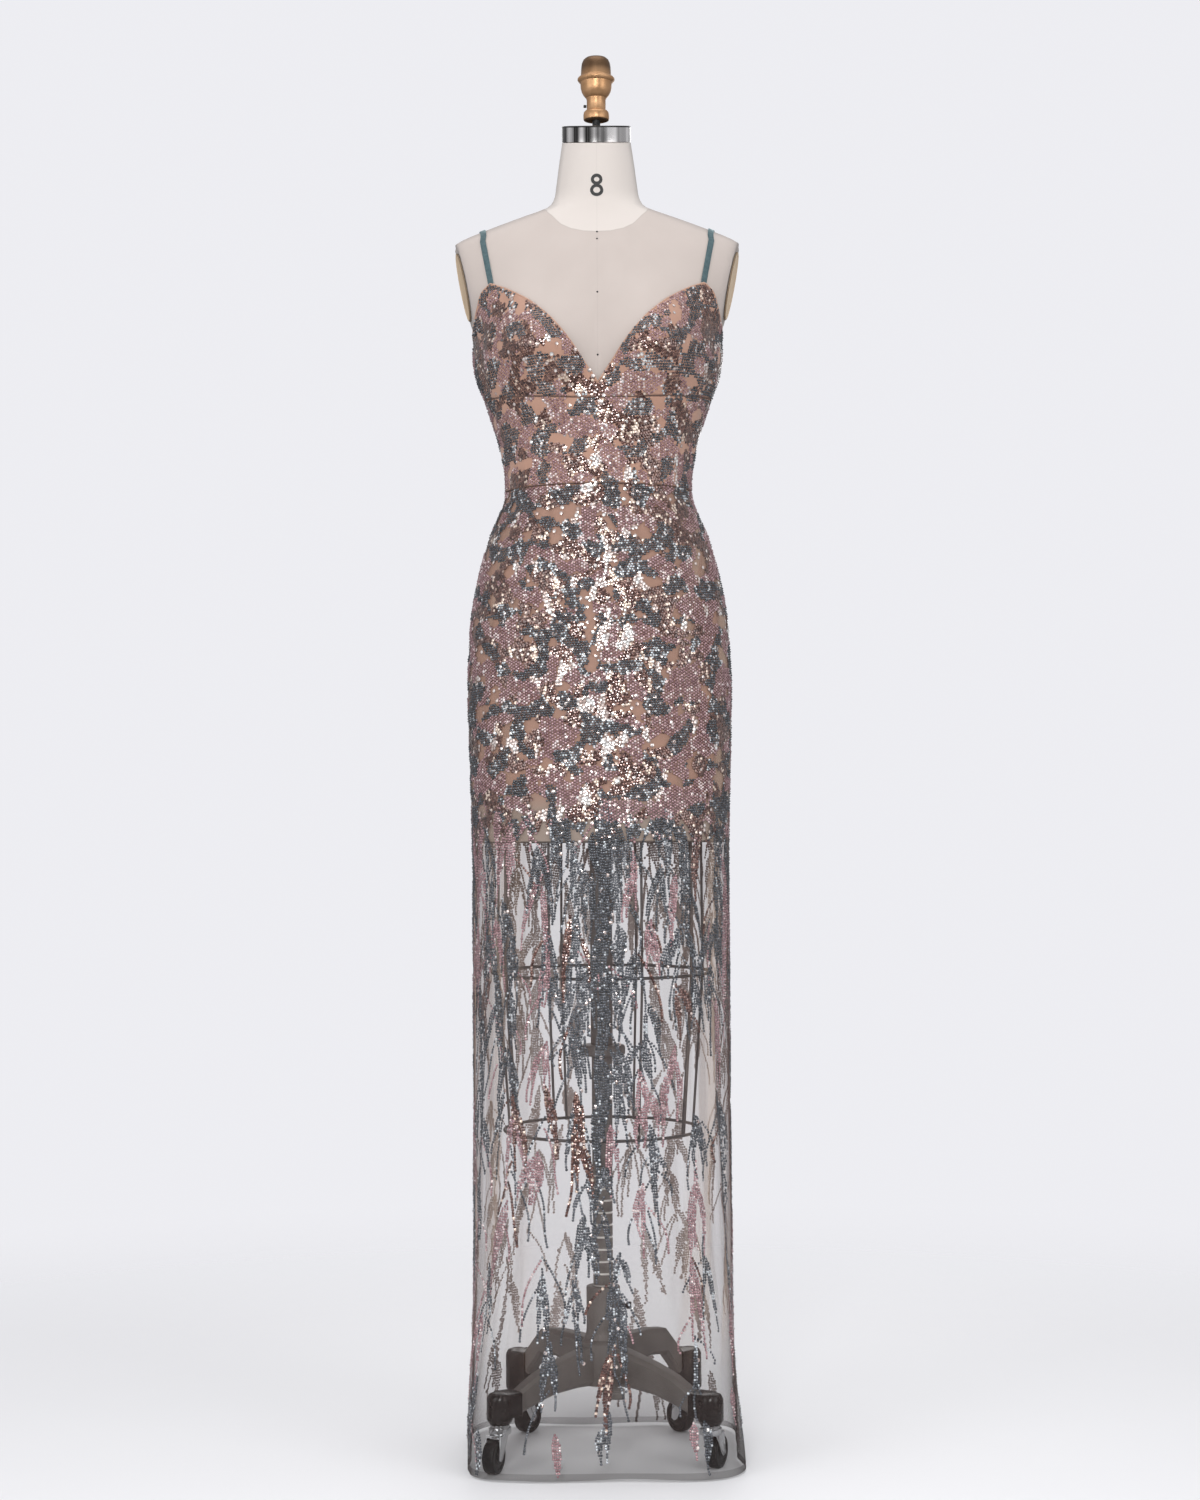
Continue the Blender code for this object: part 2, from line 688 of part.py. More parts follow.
def sweep(name, path, radius, sides, finish, closed=False):
    """A round wire through the points of a path."""
    bm = bmesh.new()
    rings = []
    count = len(path)
    for i, point in enumerate(path):
        before = path[i - 1] if closed or i > 0 else path[i]
        after = path[(i + 1) % count] if closed or i < count - 1 else path[i]
        along = (after - before).normalized()
        across = along.cross(Vector((0, 0, 1)))
        if across.length < 0.3:
            across = along.cross(Vector((0, 1, 0)))
        across.normalize()
        third = along.cross(across)
        ring = []
        for k in range(sides):
            turn = math.tau * k / sides
            offset = across * math.cos(turn) + third * math.sin(turn)
            ring.append(bm.verts.new(point + offset * radius))
        rings.append(ring)
    pairs = list(zip(rings, rings[1:]))
    if closed:
        pairs.append((rings[-1], rings[0]))
    for low, high in pairs:
        for k in range(sides):
            after = (k + 1) % sides
            bm.faces.new((low[k], low[after], high[after], high[k]))
    if not closed:
        bm.faces.new(rings[0])
        bm.faces.new(rings[-1])
    return new_object(name, bm, finish)


def slope(made, start, end):
    """Tip a piece with the cut of the neck, fully at one height and not at another."""
    for vert in made.data.vertices:
        share = min(1.0, max(0.0, (vert.co.z - start) / (end - start)))
        vert.co.z += NECK_SLOPE * vert.co.y * share


def build_form(linen, plate, steel, brass, dark):
    """The linen body with its neck, the armhole plates, and the cap and knob."""
    bm = bmesh.new()
    rings = []
    under_gown = (*BACK_LEVELS, *MIDRIFF_LEVELS, WAIST_SEAM, *SKIRT_LEVELS)
    under_gown = [z for z in under_gown if z > FORM_BOTTOM]
    for z in (FORM_BOTTOM, *reversed(under_gown), *CHEST_LEVELS, FORM_TOP):
        ring = []
        for angle in range(0, 360, PANEL_STEP):
            ease = 0.0
            if math.cos(math.radians(angle)) > 0:
                ease = BUST_EASE * bust_lift(body_surface(angle, z).x, z)
            ring.append(bm.verts.new(layer_point(angle, z, FORM_INSET + ease)))
        rings.append(ring)
    for ring in (rings[0], rings[-1]):
        level = FORM_BOTTOM if ring is rings[0] else FORM_TOP
        for vert in ring:
            vert.co.z = level
    for low, high in zip(rings, rings[1:]):
        for k, vert in enumerate(low):
            after = (k + 1) % len(low)
            bm.faces.new((vert, low[after], high[after], high[k]))
    bm.faces.new(rings[0])
    bm.faces.new(rings[-1])
    slope(new_object("torso", bm, linen, 60.0), NECK_SLOPE_FROM, FORM_TOP)

    flat_normal = Vector((1, -ARM_FLAT_TURN, -ARM_FLAT_LEAN)).normalized()
    for name, side in (("arm_plate_right", 1), ("arm_plate_left", -1)):
        reach = ARM_FLAT_REACH + ARM_FLAT_TURN * ARM_PLATE_DEPTH
        reach += ARM_FLAT_LEAN * (ARM_PLATE_HEIGHT - ARM_FLAT_HEIGHT)
        centre = Vector((reach, ARM_PLATE_DEPTH, ARM_PLATE_HEIGHT))
        centre -= flat_normal * (FORM_INSET - ARM_PLATE_LIFT)
        upward = (Vector((0, 0, 1)) - flat_normal * flat_normal.z).normalized()
        along = upward.cross(flat_normal)
        bm = bmesh.new()
        faces = []
        for lift in (0.0, ARM_PLATE_WALL):
            ring = []
            for k in range(ARM_PLATE_SIDES):
                turn = math.tau * k / ARM_PLATE_SIDES
                point = centre + flat_normal * lift
                point += along * (ARM_PLATE_HALF_DEPTH * math.cos(turn))
                point += upward * (ARM_PLATE_HALF_HEIGHT * math.sin(turn))
                point.x *= side
                ring.append(bm.verts.new(point))
            faces.append(ring)
        inner, outer = faces
        for k in range(ARM_PLATE_SIDES):
            after = (k + 1) % ARM_PLATE_SIDES
            bm.faces.new((inner[k], inner[after], outer[after], outer[k]))
        bm.faces.new(inner)
        bm.faces.new(outer)
        new_object(name, bm, plate)

    cap_bottom = FORM_TOP + SEAM_GAP
    cap_top = cap_bottom + CAP_HEIGHT
    cap = turned("neck_cap", rod(CAP_RADIUS, cap_bottom, cap_top), 32, steel)
    slope(cap, NECK_SLOPE_FROM, FORM_TOP)
    bevel(cap, CAP_BEVEL)
    stem_from = cap_top + SEAM_GAP
    stem_to = FINIAL[0][1] - SEAM_GAP
    stem = turned("finial_stem", rod(STEM_RADIUS, stem_from, stem_to), 16, dark)
    slope(stem, stem_to, stem_from)
    turned("finial", FINIAL, 16, brass)
    screw_from = FINIAL[3][0] + SEAM_GAP
    screw = rod(FINIAL_SCREW_RADIUS, screw_from, screw_from + FINIAL_SCREW_LENGTH)
    turned("finial_screw", screw, 8, dark, at=(0, 0, FINIAL_SCREW_HEIGHT), aim=(-1, 0, 0))


def ring_point(angle, height, half_width, depth):
    """A point of a cage ring, which dips towards the front with the cage's tilt."""
    turn = math.radians(angle)
    y = -depth * math.cos(turn)
    return Vector((half_width * math.sin(turn), y, height + CAGE_TILT * y))


def build_cage(wire):
    """Two rings and the wires that hang them from the form."""
    for name, height, half_width, depth in CAGE_RINGS:
        path = [ring_point(k * 12.0, height, half_width, depth) for k in range(30)]
        sweep(name, path, RING_WIRE, 5, wire, closed=True)
    for name, angle, radius in CAGE_WIRES:
        inner = RING_WIRE + radius + SEAM_GAP + 0.0003
        path = []
        for _, height, half_width, depth in CAGE_RINGS:
            path.append(ring_point(angle, height, half_width - inner, depth - inner))
        path[-1].z -= RING_WIRE
        top = path[0].copy()
        top.x *= WIRE_TOP_SCALE
        top.y *= WIRE_TOP_SCALE
        top.z = FORM_BOTTOM - SEAM_GAP - radius * 0.2
        path.insert(0, top)
        sweep(name, path, radius, 6, wire)


def build_pole(iron, dark):
    """The pole with its bevelled collar, and the grooved post that slides in the column."""
    top = FORM_BOTTOM - SEAM_GAP
    turned("pole_upper", rod(POLE_UPPER_RADIUS, COLLAR_TOP + SEAM_GAP, top), 20, iron)
    collar = (
        (COLLAR_RADIUS - COLLAR_BEVEL, COLLAR_BOTTOM),
        (COLLAR_RADIUS, COLLAR_BOTTOM + COLLAR_BEVEL),
        (COLLAR_RADIUS, COLLAR_TOP - COLLAR_BEVEL),
        (COLLAR_RADIUS - COLLAR_BEVEL, COLLAR_TOP),
    )
    turned("pole_collar", collar, 20, iron)
    lower = rod(POLE_LOWER_RADIUS, POST_TOP + SEAM_GAP, COLLAR_BOTTOM - SEAM_GAP)
    turned("pole_lower", lower, 20, iron)
    post = [(POST_RADIUS, POST_TOP)]
    for k in range(GROOVE_COUNT):
        z = GROOVE_TOP - k * GROOVE_PITCH
        post.append((POST_RADIUS, z))
        post.append((POST_RADIUS - POST_GROOVE, z - POST_GROOVE))
        post.append((POST_RADIUS, z - 2 * POST_GROOVE))
    post.append((POST_RADIUS, POST_BOTTOM))
    turned("pole_post", post[::-1], 12, dark)


def build_base(iron, dark):
    """The column, its side knob, and the hub with four arms cast in one."""
    column = (
        (COLUMN_BORE, HUB_TOP + SEAM_GAP),
        (COLUMN_RADIUS + COLUMN_FLARE, HUB_TOP + SEAM_GAP),
        (COLUMN_RADIUS, HUB_TOP + COLUMN_FLARE_HEIGHT),
        (COLUMN_RADIUS, COLUMN_TOP - COLUMN_LIP),
        (COLUMN_RADIUS - COLUMN_LIP, COLUMN_TOP),
        (COLUMN_BORE, COLUMN_TOP),
    )
    turned("base_column", column, 20, iron, bored=True)
    knob = [(radius, COLUMN_RADIUS + SEAM_GAP + reach) for radius, reach in KNOB]
    turned("column_knob", knob, 12, dark, at=(0, 0, KNOB_HEIGHT), aim=(1, 0, 0))

    hub_outline = (
        (COLUMN_BORE, HUB_BOTTOM),
        (HUB_RADIUS, HUB_BOTTOM),
        (HUB_RADIUS, HUB_TOP - HUB_BEVEL),
        (HUB_RADIUS - HUB_BEVEL, HUB_TOP),
        (COLUMN_BORE, HUB_TOP),
    )
    hub = turned("base_casting", hub_outline, 20, iron, bored=True)
    for name, x, y, _, _ in CASTERS:
        join(hub, build_arm(name, x, y, iron))
    for side in (-1, 1):
        bm = bmesh.new()
        ear_at = PEDAL_ACROSS + side * (PEDAL_HALF_WIDTH + SEAM_GAP + EAR_SIZE[0] / 2)
        block(bm, Vector((ear_at, EAR_Y, PEDAL_PIVOT_Z)), EAR_SIZE)
        join(hub, new_object("pedal_ear", bm, iron))


def join(whole, piece):
    """Fuse a piece into a casting."""
    union = whole.modifiers.new("Cast with " + piece.name, "BOOLEAN")
    union.operation = "UNION"
    union.object = piece
    piece.hide_render = True
    piece.display_type = "WIRE"


def build_arm(name, x, y, iron):
    """One tapered arm of the foot, from inside the hub's wall to its hood."""
    outward = Vector((x, y, 0)).normalized()
    sideways = Vector((-outward.y, outward.x, 0))
    length = math.hypot(x, y) - ARM_END_BEFORE_STEM
    front = y < 0
    bm = bmesh.new()
    rings = []
    for share, half_width, front_top, front_bottom, rear_top, rear_bottom in ARM_SECTIONS:
        top = front_top if front else rear_top
        bottom = front_bottom if front else rear_bottom
        round_off = min(half_width, (top - bottom) / 2) * 0.4
        outline = (
            (-half_width, bottom + round_off),
            (-half_width + round_off, bottom),
            (half_width - round_off, bottom),
            (half_width, bottom + round_off),
            (half_width, top - round_off),
            (half_width - round_off, top),
            (-half_width + round_off, top),
            (-half_width, top - round_off),
        )
        ring = []
        for across, z in outline:
            point = outward * (share * length) + sideways * across
            ring.append(bm.verts.new(point + Vector((0, 0, z))))
        rings.append(ring)
    for low, high in zip(rings, rings[1:]):
        for k in range(8):
            bm.faces.new((low[k], low[(k + 1) % 8], high[(k + 1) % 8], high[k]))
    bm.faces.new(rings[0])
    bm.faces.new(rings[-1])
    return new_object("arm_" + name, bm, iron)


def build_casters(hood_finish, chrome, rubber):
    """Each arm's hood, and under it the chrome fork with its wheel."""
    for name, x, y, trail_x, trail_y in CASTERS:
        stem = Vector((x, y, 0))
        outward = stem.normalized()
        heading = Matrix.Rotation(math.atan2(outward.y, outward.x), 4, "Z")
        top = HOOD_TOP if y < 0 else HOOD_TOP + HOOD_REAR_RISE
        outline = [(HOOD_RADIUS - inside, HOOD_BOTTOM + rise) for inside, rise in HOOD_LOWER]
        outline += [(HOOD_RADIUS - inside, top - drop) for inside, drop in HOOD_UPPER]
        hood = turned("hood_" + name, outline, HOOD_SIDES, hood_finish, at=stem)
        bm = bmesh.new()
        length = ARM_END_BEFORE_STEM - SEAM_GAP
        inner = stem.length - length
        middle = outward * (inner + length / 2)
        middle.z = (top + HOOD_BOTTOM + 2 * SLEEVE_EASE) / 2
        size = (length, 2 * HOOD_RADIUS - SLEEVE_EASE, top - HOOD_BOTTOM - SLEEVE_SHORTER)
        block(bm, middle, size, heading)
        sleeve = new_object("hood_sleeve_" + name, bm, hood_finish)
        join(hood, sleeve)
        build_fork(name, stem, Vector((trail_x, trail_y, 0)).normalized(), chrome)
        build_wheel(name, stem, Vector((trail_x, trail_y, 0)).normalized(), rubber)


def build_fork(name, stem, trail, chrome):
    """The washers, crown, two cheeks and axle of a caster, cast in one."""
    heading = Matrix.Rotation(math.atan2(trail.y, trail.x), 4, "Z")
    axle_at = stem + trail * WHEEL_TRAIL
    side = Vector((-trail.y, trail.x, 0))
    washer_top = HOOD_BOTTOM - SEAM_GAP
    washers = (
        (WASHER_RADIUS, WASHER_BOTTOM - FORK_WALL / 2),
        (WASHER_RADIUS, washer_top - WASHER_STEP_HEIGHT),
        (WASHER_RADIUS - WASHER_STEP, washer_top - WASHER_STEP_HEIGHT),
        (WASHER_RADIUS - WASHER_STEP, washer_top),
    )
    fork = turned("fork_" + name, washers, HOOD_SIDES, chrome, at=stem)
    cheek_out = WHEEL_WIDTH / 2 + FORK_SIDE_GAP + FORK_WALL / 2
    crown_width = 2 * cheek_out
    crown_along = WHEEL_TRAIL * CROWN_TRAIL_SHARE
    crown_at = stem + trail * crown_along
    crown_at.z = (FORK_TOP_BOTTOM + WASHER_BOTTOM) / 2
    bm = bmesh.new()
    block(bm, crown_at, (CROWN_LENGTH, crown_width, WASHER_BOTTOM - FORK_TOP_BOTTOM), heading)
    join(fork, new_object("fork_crown_" + name, bm, chrome))
    for sign in (-1, 1):
        bm = bmesh.new()
        cheek = []
        for face in (-1, 1):
            out = side * (sign * cheek_out + face * FORK_WALL / 2)
            corners = (
                (crown_along - CHEEK_HALF_LENGTH, WASHER_BOTTOM - FORK_WALL / 2),
                (crown_along + CHEEK_HALF_LENGTH, WASHER_BOTTOM - FORK_WALL / 2),
                (WHEEL_TRAIL + CHEEK_TIP_HALF_LENGTH, WHEEL_RADIUS - CHEEK_TIP_DROP),
                (WHEEL_TRAIL, WHEEL_RADIUS - 2 * CHEEK_TIP_DROP),
                (WHEEL_TRAIL - CHEEK_TIP_HALF_LENGTH, WHEEL_RADIUS - CHEEK_TIP_DROP),
            )
            loop = []
            for along, z in corners:
                loop.append(bm.verts.new(stem + trail * along + out + Vector((0, 0, z))))
            cheek.append(loop)
        inner, outer = cheek
        for k in range(5):
            bm.faces.new((inner[k], inner[(k + 1) % 5], outer[(k + 1) % 5], outer[k]))
        bm.faces.new(inner)
        bm.faces.new(outer)
        join(fork, new_object("fork_cheek_%s_%d" % (name, sign), bm, chrome))
    bm = bmesh.new()
    half = cheek_out + FORK_WALL * 0.4
    turn_in(bm, rod(AXLE_RADIUS, -half, half), 8,
            at=axle_at + Vector((0, 0, WHEEL_RADIUS)), aim=side)
    join(fork, new_object("fork_axle_" + name, bm, chrome))


def build_wheel(name, stem, trail, rubber):
    """A bored wheel whose lowest facet lies flat on the floor."""
    centre = stem + trail * WHEEL_TRAIL + Vector((0, 0, WHEEL_RADIUS))
    side = Vector((-trail.y, trail.x, 0))
    half = WHEEL_WIDTH / 2
    corner = WHEEL_RADIUS / math.cos(math.pi / WHEEL_SIDES)
    outline = (
        (WHEEL_BORE, -half),
        (corner - WHEEL_BEVEL, -half),
        (corner, -half + WHEEL_BEVEL),
        (corner, half - WHEEL_BEVEL),
        (corner - WHEEL_BEVEL, half),
        (WHEEL_BORE, half),
    )
    bm = bmesh.new()
    rings = []
    for radius, along in outline:
        ring = []
        for k in range(WHEEL_SIDES):
            turn = math.tau * (k + 0.5) / WHEEL_SIDES
            down = -math.cos(turn) * radius
            ahead = math.sin(turn) * radius
            ring.append(bm.verts.new(trail * ahead + side * along + Vector((0, 0, down))))
        rings.append(ring)
    for low, high in zip(rings, rings[1:] + rings[:1]):
        for k in range(WHEEL_SIDES):
            after = (k + 1) % WHEEL_SIDES
            bm.faces.new((low[k], low[after], high[after], high[k]))
    wheel = new_object("wheel_" + name, bm, rubber)
    wheel.location = centre


def build_pedal(iron):
    """The height pedal: a lever on a pivot between two ears of the hub, with a pad."""
    bm = bmesh.new()
    tip = PEDAL_TIP_Y - PEDAL_PIVOT_Y
    pad_back = tip + PEDAL_PAD_LENGTH
    half = PEDAL_HALF_WIDTH
    pad = PEDAL_PAD_HALF_WIDTH
    outline = (
        (-half, PEDAL_HEEL),
        (half, PEDAL_HEEL),
        (half, pad_back),
        (pad, pad_back),
        (pad, tip),
        (-pad, tip),
        (-pad, pad_back),
        (-half, pad_back),
    )
    rings = []
    for z in (-PEDAL_HALF_THICK, PEDAL_HALF_THICK):
        rings.append([bm.verts.new((x, y, z)) for x, y in outline])
    low, high = rings
    for k in range(len(outline)):
        after = (k + 1) % len(outline)
        bm.faces.new((low[k], low[after], high[after], high[k]))
    bm.faces.new(low)
    bm.faces.new(high)
    pedal = new_object("pedal", bm, iron)
    pedal.location = (PEDAL_ACROSS, PEDAL_PIVOT_Y, PEDAL_PIVOT_Z)
    bevel(pedal, PEDAL_BEVEL)


def main():
    for old in list(bpy.data.objects):
        bpy.data.objects.remove(old, do_unlink=True)
    beaded = material("beaded_cloth", (0.42, 0.33, 0.34), 0.35, 0.3)
    net = material("beaded_net", (0.45, 0.40, 0.40), 0.45, 0.2)
    nude = material("nude_lining", (0.55, 0.37, 0.27), 0.7)
    velvet = material("teal_velvet", (0.07, 0.16, 0.18), 0.8)
    linen = material("linen", (0.74, 0.67, 0.60), 0.85)
    tan = material("tan_plate", (0.55, 0.38, 0.22), 0.6)
    steel = material("brushed_steel", (0.55, 0.56, 0.57), 0.3, 1.0)
    brass = material("old_brass", (0.50, 0.33, 0.14), 0.4, 1.0)
    iron = material("grey_iron", (0.10, 0.10, 0.10), 0.5, 0.4)
    dark = material("dark_steel", (0.06, 0.06, 0.06), 0.4, 0.8)
    black = material("black_plastic", (0.01, 0.01, 0.01), 0.25)
    chrome = material("chrome", (0.7, 0.7, 0.72), 0.12, 1.0)
    rubber = material("black_rubber", (0.012, 0.012, 0.012), 0.45)
    build_bodice(beaded)
    build_skirt(net, nude)
    build_straps_and_zip(velvet, nude, steel)
    build_form(linen, tan, steel, brass, dark)
    build_cage(dark)
    build_pole(iron, dark)
    build_base(iron, dark)
    build_casters(black, chrome, rubber)
    build_pedal(dark)


main()
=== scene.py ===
# %% [markdown]
# # A sequinned evening gown on its dress form
#
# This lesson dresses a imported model: a long straight gown of beaded net over a nude slip,
# worn by a linen dress form on a castered stand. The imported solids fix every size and
# place. Each cell below replaces a few of them with a piece that looks like the real
# thing, made from the same driving dimensions. Everything is in metres, +Z is up, and
# the front of the gown faces -Y.

# %% Load the frame
import json
import math

import bmesh
import bpy
import numpy as np
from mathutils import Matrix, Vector, noise


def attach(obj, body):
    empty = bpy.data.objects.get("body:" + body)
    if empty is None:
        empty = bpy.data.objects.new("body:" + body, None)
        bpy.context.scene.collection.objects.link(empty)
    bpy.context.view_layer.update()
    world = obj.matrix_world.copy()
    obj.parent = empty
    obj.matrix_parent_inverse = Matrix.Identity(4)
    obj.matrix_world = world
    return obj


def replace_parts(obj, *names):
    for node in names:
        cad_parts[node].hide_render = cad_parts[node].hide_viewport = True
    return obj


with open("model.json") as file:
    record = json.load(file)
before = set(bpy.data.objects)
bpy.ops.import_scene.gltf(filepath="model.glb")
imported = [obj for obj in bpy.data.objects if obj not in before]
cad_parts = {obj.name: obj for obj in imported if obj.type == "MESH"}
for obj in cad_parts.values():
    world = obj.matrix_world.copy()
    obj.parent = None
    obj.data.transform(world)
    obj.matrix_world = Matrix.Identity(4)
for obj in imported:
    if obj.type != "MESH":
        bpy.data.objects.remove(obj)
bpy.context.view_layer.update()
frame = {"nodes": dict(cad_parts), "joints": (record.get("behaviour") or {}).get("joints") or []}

# %% [markdown]
# ## The camera
#
# A whole gown is best seen from a few metres away, with the lens at about hip height,
# so that the hem and the neck of its form are both seen nearly square on. The camera
# stands 3.4 m in front of the pole and 0.80 m up, and tips up by two degrees. That low
# place matters: it looks slightly up at the knob on the neck and slightly down at the
# casters. A pitch is used and not a lens shift, so the same camera can go round.

# %% Camera
CAMERA_DISTANCE = 3.4
CAMERA_HEIGHT = 0.80
CAMERA_ASIDE = -0.0008
CAMERA_PITCH = 2.13
CAMERA_ROLL = 0.34
LENS_MM = 61.37


def linked(name, data):
    """A new object in the scene."""
    made = bpy.data.objects.new(name, data)
    bpy.context.scene.collection.objects.link(made)
    return made


camera_data = bpy.data.cameras.new("Camera")
camera_data.lens = LENS_MM
camera_data.sensor_width = 36.0
camera = linked("Camera", camera_data)
camera.location = (CAMERA_ASIDE, -CAMERA_DISTANCE, CAMERA_HEIGHT)
camera.rotation_euler = (math.radians(90 + CAMERA_PITCH), math.radians(CAMERA_ROLL), 0)
bpy.context.scene.camera = camera
print("camera", tuple(round(value, 3) for value in camera.location))

# %% [markdown]
# ## One surface for cloth and form
#
# A gown that fits is read from the body under it, so the cups, the skirt, the lining and
# the linen form all come from one surface. BODY lists level sections, each a rounded
# oval: its height, half width, front depth, back depth and squareness. Two mounds add
# the bust, and FOLDS adds the soft folds that the net hangs in. The reads are written
# with arrays, because later cells ask for a hundred thousand points.

# %% The body's sections
BODY = (
    (0.0000, 0.1760, 0.1600, 0.1585, 6.00),
    (0.0600, 0.1745, 0.1580, 0.1577, 5.60),
    (0.1000, 0.1730, 0.1560, 0.1580, 4.60),
    (0.2000, 0.1705, 0.1520, 0.1550, 3.30),
    (0.3000, 0.1700, 0.1490, 0.1530, 2.80),
    (0.4250, 0.1690, 0.1450, 0.1510, 2.50),
    (0.6320, 0.1690, 0.1390, 0.1490, 2.35),
    (0.8030, 0.1695, 0.1300, 0.1470, 2.30),
    (0.9200, 0.1725, 0.1220, 0.1460, 2.30),
    (1.0000, 0.1745, 0.1190, 0.1440, 2.25),
    (1.0465, 0.1735, 0.1170, 0.1390, 2.20),
    (1.1000, 0.1700, 0.1150, 0.1300, 2.20),
    (1.1533, 0.1605, 0.1110, 0.1190, 2.15),
    (1.2069, 0.1460, 0.1040, 0.1030, 2.10),
    (1.2337, 0.1345, 0.1000, 0.0950, 2.10),
    (1.2605, 0.1245, 0.0970, 0.0900, 2.10),
    (1.2874, 0.1235, 0.0970, 0.0890, 2.10),
    (1.3142, 0.1275, 0.0990, 0.0920, 2.10),
    (1.3411, 0.1330, 0.1020, 0.0960, 2.10),
    (1.3679, 0.1420, 0.1050, 0.1010, 2.10),
    (1.3948, 0.1515, 0.1060, 0.1060, 2.10),
    (1.4217, 0.1615, 0.1060, 0.1090, 2.05),
    (1.4486, 0.1660, 0.1060, 0.1110, 2.00),
    (1.4755, 0.1665, 0.1040, 0.1130, 2.00),
    (1.5024, 0.1780, 0.1010, 0.1140, 2.00),
    (1.5296, 0.1960, 0.0970, 0.1130, 2.00),
    (1.5600, 0.2050, 0.0895, 0.1070, 2.00),
    (1.5850, 0.2040, 0.0810, 0.0990, 2.00),
    (1.6020, 0.1970, 0.0720, 0.0910, 2.00),
    (1.6110, 0.1850, 0.0680, 0.0870, 2.00),
    (1.6215, 0.1600, 0.0640, 0.0830, 2.00),
    (1.6325, 0.1310, 0.0600, 0.0790, 2.00),
    (1.6430, 0.1010, 0.0570, 0.0740, 2.00),
    (1.6530, 0.0720, 0.0550, 0.0710, 2.00),
    (1.6640, 0.0617, 0.0535, 0.0650, 2.00),
    (1.6850, 0.0576, 0.0525, 0.0590, 2.00),
    (1.7060, 0.0549, 0.0515, 0.0550, 2.00),
    (1.7420, 0.0497, 0.0497, 0.0497, 2.00),
)
BUST_OUT, BUST_HEIGHT, BUST_RISE = 0.085, 1.452, 0.042
BUST_SPREAD, BUST_ABOVE, BUST_BELOW = 0.045, 0.047, 0.038
# Angle from the front, spread, how far it stands out at the hem, where it begins
FOLDS = (
    (-152.0, 10.0, 0.0035, 0.62),
    (-118.0, 9.0, 0.0035, 0.50),
    (-74.0, 8.0, -0.0035, 0.55),
    (-27.0, 9.0, 0.0025, 0.40),
    (8.0, 12.0, -0.0020, 0.45),
    (33.0, 8.0, 0.0025, 0.36),
    (76.0, 8.0, -0.0040, 0.60),
    (122.0, 9.0, 0.0040, 0.55),
    (156.0, 10.0, 0.0040, 0.58),
    (61.0, 12.0, 0.0070, 0.10),
)
ARM_FLAT_REACH, ARM_FLAT_TURN, ARM_FLAT_LEAN = 0.1885, 0.12, 0.20
ARM_FLAT_HEIGHT, ARM_FLAT_FROM = 1.58, 1.488


def smooth_read(table, key):
    """Read rows by their first column, with a smooth curve through the rows."""
    rows = np.array(table, float)
    levels, last = rows[:, 0], len(table) - 1
    key = np.clip(key, levels[0], levels[-1])
    upper = np.clip(np.searchsorted(levels, key), 1, last)
    lower = upper - 1
    step = (levels[upper] - levels[lower])[..., None]
    share = (key - levels[lower])[..., None] / step
    slopes = []
    for row in (lower, upper):
        before, after = np.maximum(row - 1, 0), np.minimum(row + 1, last)
        run = (levels[after] - levels[before])[..., None]
        slopes.append((rows[after, 1:] - rows[before, 1:]) / run)
    low, high = rows[lower, 1:], rows[upper, 1:]
    squared, cubed = share**2, share**3
    return (
        (2 * cubed - 3 * squared + 1) * low
        + (cubed - 2 * squared + share) * step * slopes[0]
        + (3 * squared - 2 * cubed) * high
        + (cubed - squared) * step * slopes[1]
    )


def body_surface(angle, height):
    """Points of the body: 0 degrees is the front, 90 the side at +X."""
    angle, height = np.broadcast_arrays(np.asarray(angle, float), np.asarray(height, float))
    half_width, front, back, squareness = np.moveaxis(smooth_read(BODY, height), -1, 0)
    turn = np.radians(angle)
    across, ahead = np.sin(turn), np.cos(turn)
    depth = np.where(ahead > 0, front, back)
    spread = (abs(across) / half_width) ** squareness + (abs(ahead) / depth) ** squareness
    reach = spread ** (-1 / squareness)
    for centre, width, out, top in FOLDS:
        fall = np.clip((top - height) / top, 0, 1)
        away = (angle - centre + 180) % 360 - 180
        reach = reach + out * fall**2 * (3 - 2 * fall) * np.exp(-((away / width) ** 2))
    x, y = reach * across, -reach * ahead
    limit = ARM_FLAT_REACH + ARM_FLAT_TURN * y + ARM_FLAT_LEAN * (height - ARM_FLAT_HEIGHT)
    x = np.where(height > ARM_FLAT_FROM, np.copysign(np.minimum(abs(x), limit), x), x)
    tall = np.where(height > BUST_HEIGHT, BUST_ABOVE, BUST_BELOW)
    y = y - bust_lift(x, height, tall) * np.clip(ahead * 3, 0, 1)
    return np.stack((x, y, height), -1)


def bust_lift(x, height, tall):
    """How far the bust stands out in front of the level sections."""
    upright = ((height - BUST_HEIGHT) / tall) ** 2
    sideways = ((abs(x) - BUST_OUT) / BUST_SPREAD) ** 2
    return BUST_RISE * np.exp(-(upright + sideways) / 2)


def outward(surface, angle, height):
    """The outward normals of a surface at some angles and heights."""
    sideways = surface(angle + 0.5, height) - surface(angle - 0.5, height)
    upward = surface(angle, height + 0.002) - surface(angle, height - 0.002)
    normal = np.cross(sideways, upward)
    return normal / np.linalg.norm(normal, axis=-1, keepdims=True)


print("half width at the waist", round(float(body_surface(90.0, 1.2874)[0]), 4))

# %% [markdown]
# ## Creases
#
# Cloth that fits closely still creases: beside the bust, where the skirt is darted into
# the waist, and in long soft ridges down the net. Each is one row of a table, a ridge or
# a trough with its own place, length and lean. They are uneven on purpose, and the back
# has the same sort of creases as the front.

